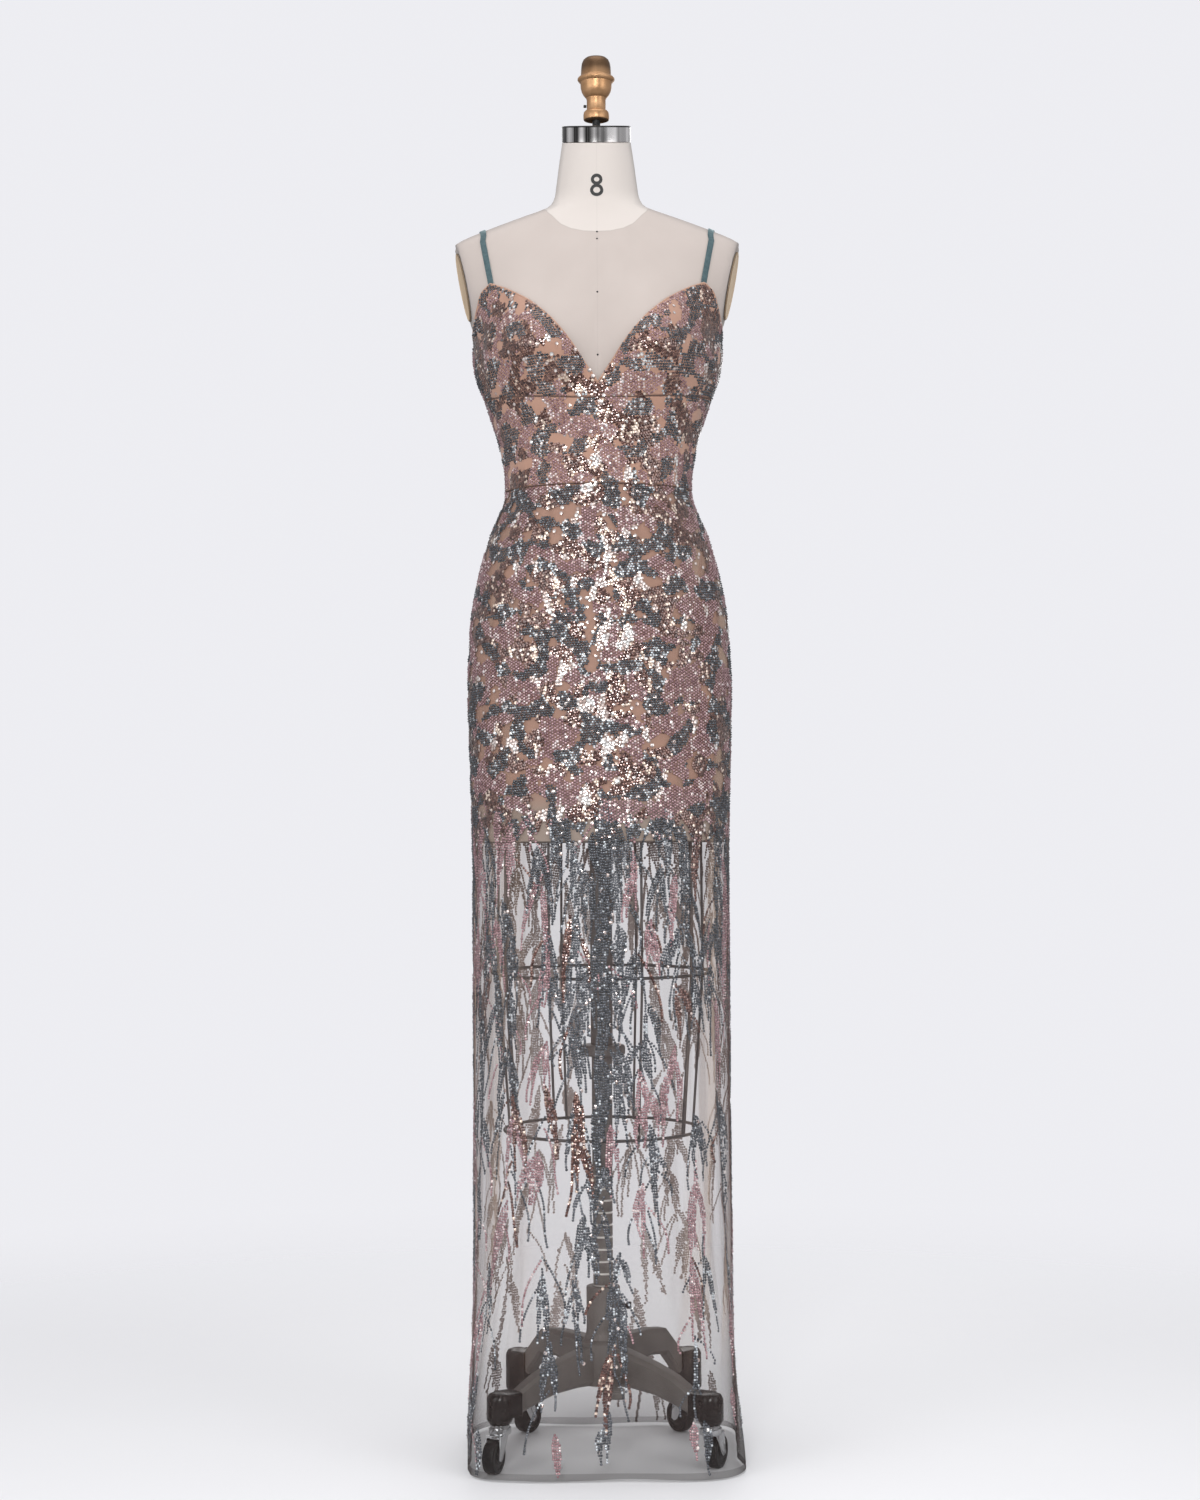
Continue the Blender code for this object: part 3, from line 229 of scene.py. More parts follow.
# %% Crease table
# Angle from the front, middle height, half its length, spread in degrees, how far it
# stands out, lean in degrees per metre
CREASES = (
    (28.5, 1.222, 0.046, 1.6, -0.0016, 10.0),
    (25.0, 1.205, 0.075, 3.2, 0.0012, -8.0),
    (-36.0, 1.225, 0.043, 1.6, -0.0015, -14.0),
    (-31.0, 1.195, 0.085, 3.4, 0.0013, 6.0),
    (-46.0, 1.180, 0.070, 4.0, 0.0010, 20.0),
    (44.0, 1.170, 0.080, 4.5, 0.0010, -16.0),
    (-70.0, 1.425, 0.050, 3.0, 0.0016, 30.0),
    (-76.0, 1.420, 0.055, 2.2, -0.0014, 40.0),
    (69.0, 1.430, 0.046, 3.0, 0.0015, -25.0),
    (75.0, 1.415, 0.055, 2.4, -0.0013, -30.0),
    (82.0, 1.300, 0.060, 3.5, 0.0014, 40.0),
    (-83.0, 1.310, 0.055, 3.5, 0.0014, -45.0),
    (60.0, 1.325, 0.040, 4.0, 0.0009, 60.0),
    (-57.0, 1.320, 0.045, 4.2, 0.0009, -55.0),
    (148.0, 1.235, 0.050, 1.8, -0.0015, -10.0),
    (-148.0, 1.232, 0.052, 1.8, -0.0015, 10.0),
    (138.0, 1.210, 0.070, 3.5, 0.0012, 12.0),
    (-136.0, 1.205, 0.075, 3.5, 0.0012, -12.0),
    (112.0, 1.330, 0.060, 4.5, 0.0010, 30.0),
    (-115.0, 1.325, 0.060, 4.5, 0.0010, -30.0),
    (-62.0, 0.300, 0.280, 3.0, 0.0038, 9.0),
    (-55.0, 0.260, 0.250, 2.6, -0.0028, 12.0),
    (58.0, 0.330, 0.300, 2.8, 0.0036, -8.0),
    (65.5, 0.280, 0.260, 2.4, -0.0030, -10.0),
    (-18.0, 0.340, 0.240, 4.0, 0.0024, -30.0),
    (21.0, 0.300, 0.260, 3.6, 0.0022, 22.0),
    (38.0, 0.480, 0.260, 4.0, 0.0018, -14.0),
    (-42.0, 0.520, 0.240, 4.0, 0.0018, 16.0),
    (104.0, 0.360, 0.300, 3.6, 0.0034, 8.0),
    (-101.0, 0.340, 0.300, 3.6, 0.0034, -8.0),
    (133.0, 0.420, 0.320, 4.2, 0.0030, -12.0),
    (-135.0, 0.400, 0.300, 4.2, 0.0030, 10.0),
    (172.0, 0.380, 0.300, 4.5, 0.0024, 14.0),
    (-166.0, 0.340, 0.260, 4.5, 0.0024, -12.0),
)


def cloth_surface(angle, height):
    """The body surface with the cloth's creases in it."""
    lift = np.zeros(np.broadcast(angle, height).shape)
    for centre, middle, half, width, out, lean in CREASES:
        along = (height - middle) / half
        away = (angle - centre - lean * (height - middle) + 180) % 360 - 180
        lift = lift + out * np.exp(-(along**4)) * np.exp(-((away / width) ** 2))
    return body_surface(angle, height) + outward(body_surface, angle, height) * lift[..., None]


print("creases:", len(CREASES), "folds:", len(FOLDS))

# %% [markdown]
# ## Helpers for meshes and shaders
#
# A few short helpers keep the cells below readable. `piece` turns points and faces into
# a smooth object with one finish, and lets it ride on a body of the frame. `add` makes a
# shader node, sets its values and joins its sockets in one call. The helpers after it
# give the sums, ramps and colour mixes that every finish needs, one line for each.

# %% Mesh helper
TOUCH = 1e-5


def piece(name, points, faces, finish, body, uv=None, flat_over=50.0):
    """A named mesh object at the origin that rides on a body."""
    mesh = bpy.data.meshes.new(name)
    mesh.from_pydata(np.reshape(points, (-1, 3)).tolist(), [], faces)
    if uv is not None:
        corner = np.empty(len(mesh.loops), int)
        mesh.loops.foreach_get("vertex_index", corner)
        layer = mesh.uv_layers.new(name="Cloth")
        layer.data.foreach_set("uv", np.reshape(uv, (-1, 2))[corner].ravel())
    mesh.materials.append(finish)
    mesh.shade_smooth()
    mesh.set_sharp_from_angle(angle=math.radians(flat_over))
    made = linked(name, mesh)
    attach(made, body)
    return made


def grid_faces(columns, rows, closed=False):
    """Faces of a grid whose columns run round and whose rows run down."""
    faces = []
    for i in range(columns if closed else columns - 1):
        k = (i + 1) % columns
        for j in range(rows - 1):
            faces.append((i * rows + j, i * rows + j + 1, k * rows + j + 1, k * rows + j))
    return faces


# %% Shader helpers
def add(nodes, kind, inputs=(), **settings):
    """A shader node with its settings, values and links."""
    node = nodes.new(kind)
    for key, value in settings.items():
        setattr(node, key, value)
    for socket, value in dict(inputs).items():
        if isinstance(value, bpy.types.NodeSocket):
            nodes.id_data.links.new(value, node.inputs[socket])
        else:
            node.inputs[socket].default_value = value
    return node


def join(nodes, source, target):
    """Link two sockets."""
    nodes.id_data.links.new(source, target)


def maths(nodes, operation, *values, clamp=False):
    """The result of a sum on one, two or three values."""
    made = add(nodes, "ShaderNodeMath", enumerate(values), operation=operation, use_clamp=clamp)
    return made.outputs[0]


def ramp(nodes, value, low, high, out=(0.0, 1.0)):
    """How far a value is from low to high, given as a number between the two of out."""
    span = {"From Min": low, "From Max": high, "To Min": out[0], "To Max": out[1]}
    return add(nodes, "ShaderNodeMapRange", {"Value": value, **span}).outputs[0]


def scaled(nodes, colour, share):
    """A colour made darker by a share."""
    return add(nodes, "ShaderNodeVectorMath", {0: colour, "Scale": share},
               operation="SCALE").outputs[0]


def tinted(nodes, colour, share, tint):
    """A colour with a tint laid over it by a share."""
    mix = add(nodes, "ShaderNodeMix", {0: share}, data_type="RGBA")
    mix.inputs[7].default_value = (*tint, 1)
    join(nodes, colour, mix.inputs[6])
    return mix.outputs[2]


def attribute(nodes, name):
    """A value that the mesh carries under a name."""
    return add(nodes, "ShaderNodeAttribute", attribute_name=name).outputs["Fac"]


# %% A new finish
def new_finish(name, **values):
    """A Principled material; returns it with its nodes and its shader."""
    made = bpy.data.materials.new(name)
    made.use_nodes = True
    nodes = made.node_tree.nodes
    shader = nodes["Principled BSDF"]
    for socket, value in values.items():
        shader.inputs[socket.replace("_", " ").title()].default_value = value
    return made, nodes, shader


# %% [markdown]
# ## Effects that several finishes share
#
# Real finishes are never even. A soft mottle varies the colour of cloth, paint and
# brass. A plain weave gives linen, lining and net their threads. Fine stretched lines
# make brushed metal, and a pitted grain makes a sand casting. Each is a small node
# group that puts out one value, built once and used with its own numbers.

# %% Mottle and weave
def new_group(name, inputs, output):
    """A shader node group with named inputs and one value out."""
    group = bpy.data.node_groups.new(name, "ShaderNodeTree")
    for label, kind, value in inputs:
        socket = group.interface.new_socket(label, in_out="INPUT", socket_type=kind)
        if value is not None:
            socket.default_value = value
    group.interface.new_socket(output, in_out="OUTPUT", socket_type="NodeSocketFloat")
    start, end = group.nodes.new("NodeGroupInput"), group.nodes.new("NodeGroupOutput")
    return group, group.nodes, start.outputs, end.inputs[output]


VECTOR, FLOAT = "NodeSocketVector", "NodeSocketFloat"

mottle_group, nodes, given, result = new_group(
    "Soft mottle",
    (("Vector", VECTOR, None), ("Scale", FLOAT, 12.0), ("Contrast", FLOAT, 1.0)),
    "Value",
)
cloud = add(nodes, "ShaderNodeTexNoise",
            {"Vector": given["Vector"], "Scale": given["Scale"], "Detail": 3.0})
centred = maths(nodes, "SUBTRACT", cloud.outputs["Fac"], 0.5)
join(nodes, maths(nodes, "MULTIPLY_ADD", centred, given["Contrast"], 0.5, clamp=True), result)

weave_group, nodes, given, result = new_group(
    "Plain weave", (("Vector", VECTOR, None), ("Threads", FLOAT, 900.0)), "Height"
)
split = add(nodes, "ShaderNodeSeparateXYZ", {0: scaled(nodes, given["Vector"], given["Threads"])})
waves = []
for axis in ("X", "Y"):
    turn = maths(nodes, "MULTIPLY", split.outputs[axis], math.pi)
    waves.append(maths(nodes, "ABSOLUTE", maths(nodes, "SINE", turn)))
join(nodes, maths(nodes, "MAXIMUM", *waves), result)

# %% Brushed lines and cast grain
brushed_group, nodes, given, result = new_group(
    "Brushed lines", (("Vector", VECTOR, None), ("Stretch", VECTOR, (30.0, 30.0, 2500.0))), "Height"
)
drawn = add(nodes, "ShaderNodeVectorMath", {0: given["Vector"], 1: given["Stretch"]},
            operation="MULTIPLY")
lines = add(nodes, "ShaderNodeTexNoise", {"Vector": drawn.outputs[0], "Scale": 1.0, "Detail": 2.0})
join(nodes, lines.outputs["Fac"], result)

grain_group, nodes, given, result = new_group(
    "Cast grain", (("Vector", VECTOR, None), ("Scale", FLOAT, 500.0)), "Height"
)
pits = add(nodes, "ShaderNodeTexVoronoi", {"Vector": given["Vector"], "Scale": given["Scale"]})
fine = add(nodes, "ShaderNodeTexNoise",
           {"Vector": given["Vector"], "Scale": given["Scale"], "Detail": 4.0})
join(nodes, maths(nodes, "MULTIPLY", pits.outputs["Distance"], fine.outputs["Fac"]), result)
print("shared effects:", [group.name for group in bpy.data.node_groups])


# %% Placing a shared effect
def effect(nodes, group, inputs):
    """One of the shared effects in a material; its value."""
    node = add(nodes, "ShaderNodeGroup", node_tree=group)
    for socket, value in inputs.items():
        if isinstance(value, bpy.types.NodeSocket):
            join(nodes, value, node.inputs[socket])
        else:
            node.inputs[socket].default_value = value
    return node.outputs[0]


def place_of(nodes, kind="Object"):
    """Object coordinates in metres, or the cloth's own UV map, also in metres."""
    return add(nodes, "ShaderNodeTexCoord").outputs[kind]


def axis_of(nodes, axis):
    """One of the object coordinates; Z is the height over the floor."""
    return add(nodes, "ShaderNodeSeparateXYZ", {0: place_of(nodes)}).outputs[axis]


def mottle(nodes, place, scale, contrast):
    """The soft mottle at some place."""
    return effect(nodes, mottle_group, {"Vector": place, "Scale": scale, "Contrast": contrast})


def weave(nodes, place, threads):
    """The plain weave at some place."""
    return effect(nodes, weave_group, {"Vector": place, "Threads": threads})


def two_tone(nodes, shader, value, dark, light):
    """Base colour between two tones by a value."""
    mix = add(nodes, "ShaderNodeMix", data_type="RGBA")
    mix.inputs[6].default_value = (*dark, 1)
    mix.inputs[7].default_value = (*light, 1)
    join(nodes, value, mix.inputs[0])
    join(nodes, mix.outputs[2], shader.inputs["Base Color"])
    return mix.outputs[2]


def bump(nodes, shader, height, distance, strength=1.0):
    """A bump of some depth in metres."""
    made = add(nodes, "ShaderNodeBump",
               {"Strength": strength, "Distance": distance, "Height": height})
    join(nodes, made.outputs[0], shader.inputs["Normal"])


# %% [markdown]
# ## Nude cloth and lining
#
# The ground of the bodice is a smooth nude cloth. The slip lining is the same nude, and
# thin: where the form no longer stands behind it, its colour is greyed, a painted shade.
# Its hem is turned up, and a fine dark band is painted along it, a painted shadow line. A
# plain colour would do from afar, but a mottle in the colour and a weave in the bump keep
# a large plain area from looking like card.

# %% Nude cloth and lining
# Painted shade: the lining's colour greys where the form no longer stands behind it
LINING_SHADE_TINT = (0.36, 0.285, 0.235)
UNBACKED_SHADE_FROM, UNBACKED_SHADE_FULL = 0.872, 0.838
# Painted shadow line: a fine dark band along the lining's hem
HEM_SHADOW_FULL, HEM_SHADOW_TO, HEM_SHADOW_TONE = 0.8045, 0.8060, 0.16

nude_cloth, nodes, shader = new_finish("Nude cloth under net", roughness=0.72, sheen_weight=0.25)
uv = place_of(nodes, "UV")
two_tone(nodes, shader, mottle(nodes, uv, 30.0, 1.2), (0.38, 0.210, 0.150), (0.47, 0.275, 0.200))
bump(nodes, shader, weave(nodes, uv, 900.0), 0.0002, 0.6)

lining_cloth, nodes, shader = new_finish("Nude slip lining", roughness=0.6, sheen_weight=0.2,
                                         alpha=0.86)
uv, height = place_of(nodes, "UV"), axis_of(nodes, "Z")
nude = two_tone(nodes, shader, mottle(nodes, uv, 22.0, 1.0), (0.40, 0.225, 0.160),
                (0.48, 0.280, 0.205))
# Painted shade below the form
unbacked_shaded = tinted(nodes, nude, ramp(nodes, height, UNBACKED_SHADE_FROM, UNBACKED_SHADE_FULL), LINING_SHADE_TINT)
# Painted shadow line at the lining's hem
hem_shadow = ramp(nodes, height, HEM_SHADOW_FULL, HEM_SHADOW_TO, (HEM_SHADOW_TONE, 1.0))
join(nodes, scaled(nodes, unbacked_shaded, hem_shadow), shader.inputs["Base Color"])
bump(nodes, shader, weave(nodes, uv, 1500.0), 0.0001, 0.5)
print("cloth finishes:", nude_cloth.name, lining_cloth.name)

# %% [markdown]
# ## Net
#
# The skirt is fine net: mostly holes, so its finish is mostly see-through. How much it
# covers is a sum of small parts. It is thinner over the lining, it closes up where it
# is seen edge on, it lies double in warm soft folds at the sides, and it lies double
# again where its hem is turned. Towards the floor its colour is painted darker and its
# cover rises, a painted shadow under the gown. A cover in the alpha is far lighter than
# a mesh with real holes, and at the size of a whole gown nobody can tell them apart.

# %% Net
NET_COVER, NET_COVER_LINED = 0.13, 0.06
LINED_TO, LINED_FROM = 0.80, 0.806
# The second cover is a painted shadow: extra cover near the floor
NET_FOLD_COVER, NET_FLOOR_SHADOW_COVER = 0.32, 0.16
NET_EDGE_COVER, NET_EDGE_POWER = 0.62, 2.4
HEM_TURNING, HEM_COVER = 0.0115, 0.22
FOLD_STRETCH = (30.0, 1.1, 1.0)
FOLD_TINT = (0.40, 0.30, 0.235)
# Where the folds begin and are full: in the mottle, out from the middle, over the floor
FOLD_BANDS, FOLD_SIDES, FOLD_FEET = (0.40, 0.85), (0.075, 0.125), (0.12, 0.20)
# Painted shade and shadow near the floor: heights between which the net's colour
# darkens, how dark it gets, and where its cover rises
FLOOR_SHADE_HEIGHTS, FLOOR_SHADE_TONE, FLOOR_SHADOW_RISE = (0.03, 0.20), 0.15, (0.17, 0.01)

net_cloth, nodes, shader = new_finish("Taupe net", roughness=0.8)
uv, height = place_of(nodes, "UV"), axis_of(nodes, "Z")
plain = two_tone(nodes, shader, mottle(nodes, uv, 9.0, 1.5), (0.100, 0.058, 0.050),
                 (0.175, 0.108, 0.094))
along = add(nodes, "ShaderNodeVectorMath", {0: uv, 1: FOLD_STRETCH},
            operation="MULTIPLY").outputs[0]
bands = ramp(nodes, mottle(nodes, along, 1.0, 3.0), *FOLD_BANDS)
at_side = ramp(nodes, maths(nodes, "ABSOLUTE", axis_of(nodes, "X")), *FOLD_SIDES)
folded = maths(nodes, "MULTIPLY", bands, at_side)
folded = maths(nodes, "MULTIPLY", folded, ramp(nodes, height, *FOLD_FEET))
# Painted shade: the net's colour darkens towards the floor
shaded = scaled(nodes, plain, ramp(nodes, height, *FLOOR_SHADE_HEIGHTS, (FLOOR_SHADE_TONE, 1.0)))
join(nodes, tinted(nodes, shaded, folded, FOLD_TINT), shader.inputs["Base Color"])

# %% How much the net covers
threads = ramp(nodes, weave(nodes, uv, 800.0), 0.86, 1.0, (-0.03, 0.09))
facing = add(nodes, "ShaderNodeLayerWeight", {"Blend": 0.5}).outputs["Facing"]
lined = ramp(nodes, height, LINED_TO, LINED_FROM, (NET_COVER, NET_COVER_LINED))
cover = maths(nodes, "ADD", lined, threads)
cover = maths(nodes, "MULTIPLY_ADD", folded, NET_FOLD_COVER, cover)
closing = maths(nodes, "POWER", facing, NET_EDGE_POWER)
cover = maths(nodes, "MULTIPLY_ADD", closing, NET_EDGE_COVER, cover)
# Painted shadow under the gown: the net covers more towards the floor
floor_shadow_cover = ramp(nodes, height, *FLOOR_SHADOW_RISE, (0.0, NET_FLOOR_SHADOW_COVER))
cover = maths(nodes, "ADD", cover, floor_shadow_cover)
in_hem = maths(nodes, "LESS_THAN", height, HEM_TURNING)
cover = maths(nodes, "MULTIPLY_ADD", in_hem, HEM_COVER, cover, clamp=True)
join(nodes, cover, shader.inputs["Alpha"])
print("net covers", NET_COVER, "and over the lining", NET_COVER_LINED)

# %% [markdown]
# ## Velvet, satin and thread
#
# Velvet, for the straps, is dark where it is seen straight and light at its rim, which
# is what the sheen socket does. The neckline is bound in tan satin, which is smoother
# than the cloth. The thread of the seams is darker than what it sews, and that dark also
# paints the seam's shadow line, so that a seam can still be seen under the beads.

# %% Velvet, satin and thread
velvet, nodes, shader = new_finish("Teal velvet", roughness=0.9, sheen_weight=1.0,
                                   sheen_roughness=0.35, sheen_tint=(0.50, 0.62, 0.63, 1))
tone = mottle(nodes, place_of(nodes), 260.0, 1.6)
two_tone(nodes, shader, tone, (0.040, 0.072, 0.082), (0.088, 0.142, 0.155))
bump(nodes, shader, tone, 0.0004)

satin_binding, nodes, shader = new_finish("Tan satin binding", roughness=0.42, sheen_weight=0.3)
tone = mottle(nodes, place_of(nodes), 120.0, 1.0)
two_tone(nodes, shader, tone, (0.36, 0.20, 0.135), (0.52, 0.31, 0.22))
bump(nodes, shader, tone, 0.0003, 0.5)

# Dark thread: real stitches, with the seam's shadow line painted into its colour
seam_shadow_thread, nodes, shader = new_finish("Seam thread", roughness=0.8)
tone = mottle(nodes, place_of(nodes), 300.0, 1.5)
two_tone(nodes, shader, tone, (0.085, 0.050, 0.040), (0.16, 0.098, 0.078))
print("trimmings:", velvet.name, satin_binding.name, seam_shadow_thread.name)

# %% [markdown]
# ## Bead and sequin finishes
#
# Four sorts of trim are sewn on: slate glass beads, dusty pink beads, bronze sequins and
# clear rose gold sequins. Real trim differs a little from bead to bead, so each bead
# carries a random number called "tone" that varies its colour, and the top tenth of the
# tones are painted glints, a near white that stands in for the light a bead catches. A
# bead is also painted darker towards its rim, a painted shade in the gaps that keeps
# close rows apart. The back of a bead shows its thread, which is pale and dull, not metal.

# %% Bead finishes
THREAD_SIDE = (0.66, 0.58, 0.55)
# Tones over the second value are painted glints
PLAIN_TO, PAINTED_GLINT_FROM = 0.80, 0.90
# Painted shade: where on a bead's dome the rim darkening begins
RIM_SHADE_FROM = 0.30


def bead_finish(name, dark, light, glint_colour, metallic, roughness, coat, rim_shade):
    """A trim whose colour varies from bead to bead, with painted glints, a painted rim shade and a
    dull thread side.
    """
    made, nodes, shader = new_finish(name, metallic=metallic, roughness=roughness,
                                     coat_weight=coat, coat_roughness=0.08)
    tones_with_glints = add(nodes, "ShaderNodeValToRGB", {0: attribute(nodes, "tone")})
    stops = tones_with_glints.color_ramp.elements
    stops[0].color = (*dark, 1)
    stops[1].position, stops[1].color = PLAIN_TO, (*light, 1)
    # Painted glint: tones from here up turn near white
    stops.new(PAINTED_GLINT_FROM).color = (*glint_colour, 1)
    # Painted shade towards the rim of each bead, standing in for shadow in the gaps
    shade = ramp(nodes, attribute(nodes, "rim"), RIM_SHADE_FROM, 1.0, (1.0, rim_shade))
    reverse = add(nodes, "ShaderNodeNewGeometry").outputs["Backfacing"]
    join(nodes, maths(nodes, "MULTIPLY_ADD", reverse, -metallic, metallic),
         shader.inputs["Metallic"])
    front = scaled(nodes, tones_with_glints.outputs["Color"], shade)
    join(nodes, tinted(nodes, front, reverse, THREAD_SIDE), shader.inputs["Base Color"])
    return made


BEAD_FINISHES = {
    "slate_beads": bead_finish("Slate glass beads", (0.020, 0.025, 0.034), (0.134, 0.142, 0.164),
                               (0.62, 0.66, 0.70), 0.35, 0.28, 0.5, 0.26),
    "pink_beads": bead_finish("Dusty pink beads", (0.24, 0.110, 0.125), (0.53, 0.325, 0.345),
                              (0.84, 0.68, 0.68), 0.25, 0.32, 0.6, 0.34),
    "bronze_sequins": bead_finish("Bronze sequins", (0.055, 0.020, 0.017), (0.22, 0.110, 0.088),
                                  (0.88, 0.70, 0.58), 0.50, 0.22, 1.0, 0.55),
    "rose_sequins": bead_finish("Rose gold sequins", (0.58, 0.43, 0.38), (0.94, 0.85, 0.82),
                                (1.0, 0.98, 0.96), 0.55, 0.22, 1.0, 0.55),
}
print("trim finishes:", list(BEAD_FINISHES))

# %% [markdown]
# ## The bodice panels
#
# Two cups, a midriff and two back halves are cut, and each is its own piece. A panel is
# a grid of the cloth surface between two angles and two edges. The last few millimetres
# before a seam turn inwards, because a sewn edge is pulled down by its stitches, and
# that is what makes a seam show. A Solidify modifier then gives the cloth its wall.

# %% Edges of the panels
SEAM_ANGLE = 0.07
SEAM_GAP = 0.0003
WAIST_SEAM = 1.270
UNDERBUST_FRONT, UNDERBUST_SIDE = 1.380, 1.394
HEM = 0.0015
LINING_HEM = 0.803
STRAP_ANGLE, STRAP_BACK_ANGLE = 64.4, 126.0
TOP_EDGE = (
    (0.0, 1.3990), (5.0, 1.4130), (9.7, 1.4250), (16.0, 1.4435), (22.7, 1.4605), (33.6, 1.4842),
    (46.4, 1.5089), (57.4, 1.5272), (STRAP_ANGLE, 1.5365), (68.0, 1.5270), (72.0, 1.5110),
    (78.0, 1.4930), (84.0, 1.4820), (90.0, 1.4760), (105.0, 1.4640), (STRAP_BACK_ANGLE, 1.4600),
    (150.0, 1.4520), (165.0, 1.4480), (180.0, 1.4460),
)


def top_edge(angle):
    """Height of the bodice's top edge."""
    return np.interp(np.abs(angle), [row[0] for row in TOP_EDGE], [row[1] for row in TOP_EDGE])


def underbust(angle):
    """Height of the seam under the cups, a little higher at the side."""
    share = np.minimum(np.abs(angle) / 90.0, 1.0)
    return UNDERBUST_FRONT + (UNDERBUST_SIDE - UNDERBUST_FRONT) * share**2


def waist(angle):
    """Height of the waist seam."""
    return np.full(np.shape(angle), WAIST_SEAM)


# Distance from a sewn edge and how far the cloth is pulled in there
SEAM_PULL = ((0.0, 0.0012), (0.0009, 0.0007), (0.0020, 0.0002), (0.0040, 0.0))
DEGREES_PER_METRE = 380.0


# %% [markdown]
# ## A panel of cloth
#
# The same function cuts every panel. Its columns and rows crowd together near the sewn
# edges, where the cloth is pulled in, and are even elsewhere. Each corner also gets its
# place on the flat cloth as a UV map in metres, so that weave and mottle follow the
# cloth and not the room.

# %% A panel of cloth
def panel(name, start, end, top, bottom, columns, rows, inset, finish, sewn="tbse"):
    """A patch of the cloth surface, pulled in along the sewn edges.

    sewn has a letter for each sewn edge: top, bottom, start and end.
    """
    near = np.array(SEAM_PULL)
    side = near[:, 0] * DEGREES_PER_METRE
    angles = np.concatenate((start + side, np.linspace(start, end, columns)[1:-1],
                             end - side[::-1]))
    angles = np.sort(angles)
    upper, lower = top(angles)[:, None], bottom(angles)[:, None]
    shares = np.linspace(0, 1, rows)[1:-1]
    first, last = upper - near[:, 0], lower + near[::-1, 0]
    middle = first[:, -1:] + (last[:, :1] - first[:, -1:]) * shares
    heights = np.concatenate((first, middle, last), 1)
    pull = np.zeros(heights.shape)
    edges = {"t": (slice(None), slice(0, len(near))), "b": (slice(None), slice(-len(near), None))}
    for letter, where in edges.items():
        if letter in sewn:
            pull[where] = near[:, 1] if letter == "t" else near[::-1, 1]
    for letter, edge in (("s", start), ("e", end)):
        if letter in sewn:
            away = abs(angles - edge) / DEGREES_PER_METRE
            pull = np.maximum(pull, np.interp(away, near[:, 0], near[:, 1])[:, None])
    grid_angles = angles[:, None] + np.zeros_like(heights)
    points = cloth_surface(grid_angles, heights)
    points = points - outward(cloth_surface, grid_angles, heights) * (pull + inset)[..., None]
    along = np.linalg.norm(np.diff(points, axis=0), axis=-1)
    across = np.concatenate((np.zeros((1, heights.shape[1])), np.cumsum(along, 0)))
    uv = np.stack((across, heights), -1)
    faces = grid_faces(len(angles), heights.shape[1])
    return piece(name, points, faces, finish, "form", uv)


def area_of(made):
    """The area of a piece's mesh in square metres."""
    return sum(face.area for face in made.data.polygons)


# %% [markdown]
# ## Cups, midriff and back
#
# The bodice is stretched over the form, so its panels meet in seams and nothing hangs.
# Every panel takes the place of its solid. It stops just short of its neighbour, which
# keeps the two walls from lying in each other.

# %% Cups, midriff and back
BODICE_THICK = 0.0012
cloth = {}


def seam_under(edge):
    """An edge that leaves half the seam's gap under it."""
    return lambda angle: edge(angle) - SEAM_GAP / 2


def seam_over(edge):
    """An edge that leaves half the seam's gap over it."""
    return lambda angle: edge(angle) + SEAM_GAP / 2


for label, start, end in (("left", -90, 0), ("right", 0, 90)):
    front_edge = "s" if label == "left" else "e"
    cloth["cup_" + label] = panel("cup_" + label + "_cloth", start + SEAM_ANGLE, end - SEAM_ANGLE,
                                  top_edge, seam_over(underbust), 60, 26, 0.0, nude_cloth,
                                  "b" + front_edge)
cloth["midriff_front"] = panel("midriff_front_cloth", -90 + SEAM_ANGLE, 90 - SEAM_ANGLE,
                               seam_under(underbust), seam_over(waist), 110, 22, 0.0, nude_cloth)
for label, start, end in (("left", -180, -90), ("right", 90, 180)):
    cloth["bodice_back_" + label] = panel("bodice_back_" + label + "_cloth", start + SEAM_ANGLE,
                                          end - SEAM_ANGLE, top_edge, seam_over(waist), 60, 34, 0.0,
                                          nude_cloth, "bse")
for node, made in cloth.items():
    wall = made.modifiers.new("Wall", "SOLIDIFY")
    wall.thickness = BODICE_THICK
    wall.offset = -1.0
    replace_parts(made, node)
    print(node, "area", round(area_of(made), 4))

# %% [markdown]
# ## The net skirt and its lining
#
# The skirt is three panels of net from the waist to the floor, and the slip lining is
# two panels that stop at the thigh. Net is a single layer here, because a wall with two
# faces would be seen through twice and look twice as dark. The lining is a little
# inside the net, and both follow the same creases, so they never cross.

# %% Skirt and lining
LINING_INSET = 0.0016
HEM_WAVER = 0.0008


def hem_edge(angle):
    """Height of the skirt's hem, which wavers a little over the floor."""
    turn = np.radians(angle)
    return HEM + HEM_WAVER * (2 + np.sin(7 * turn) + np.sin(3 * turn + 1))


def lining_edge(angle):
    """Height of the lining's hem."""
    return np.full(np.shape(angle), LINING_HEM)


for node, start, end, columns in (("skirt_front", -90, 90, 120), ("skirt_back_left", -180, -90, 60),
                                  ("skirt_back_right", 90, 180, 60)):
    made = panel(node + "_net", start + SEAM_ANGLE, end - SEAM_ANGLE, seam_under(waist), hem_edge,
                 columns, 190, 0.0, net_cloth, "tse")
    cloth[node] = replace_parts(made, node)
for node, start, end in (("lining_front", -90, 90), ("lining_back", 90, 270)):
    made = panel(node + "_cloth", start + SEAM_ANGLE, end - SEAM_ANGLE, seam_under(waist),
                 lining_edge, 100, 70, LINING_INSET, lining_cloth, "t")
    cloth[node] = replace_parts(made, node)
for node in ("skirt_front", "skirt_back_left", "skirt_back_right", "lining_front", "lining_back"):
    print(node, "area", round(area_of(cloth[node]), 4))

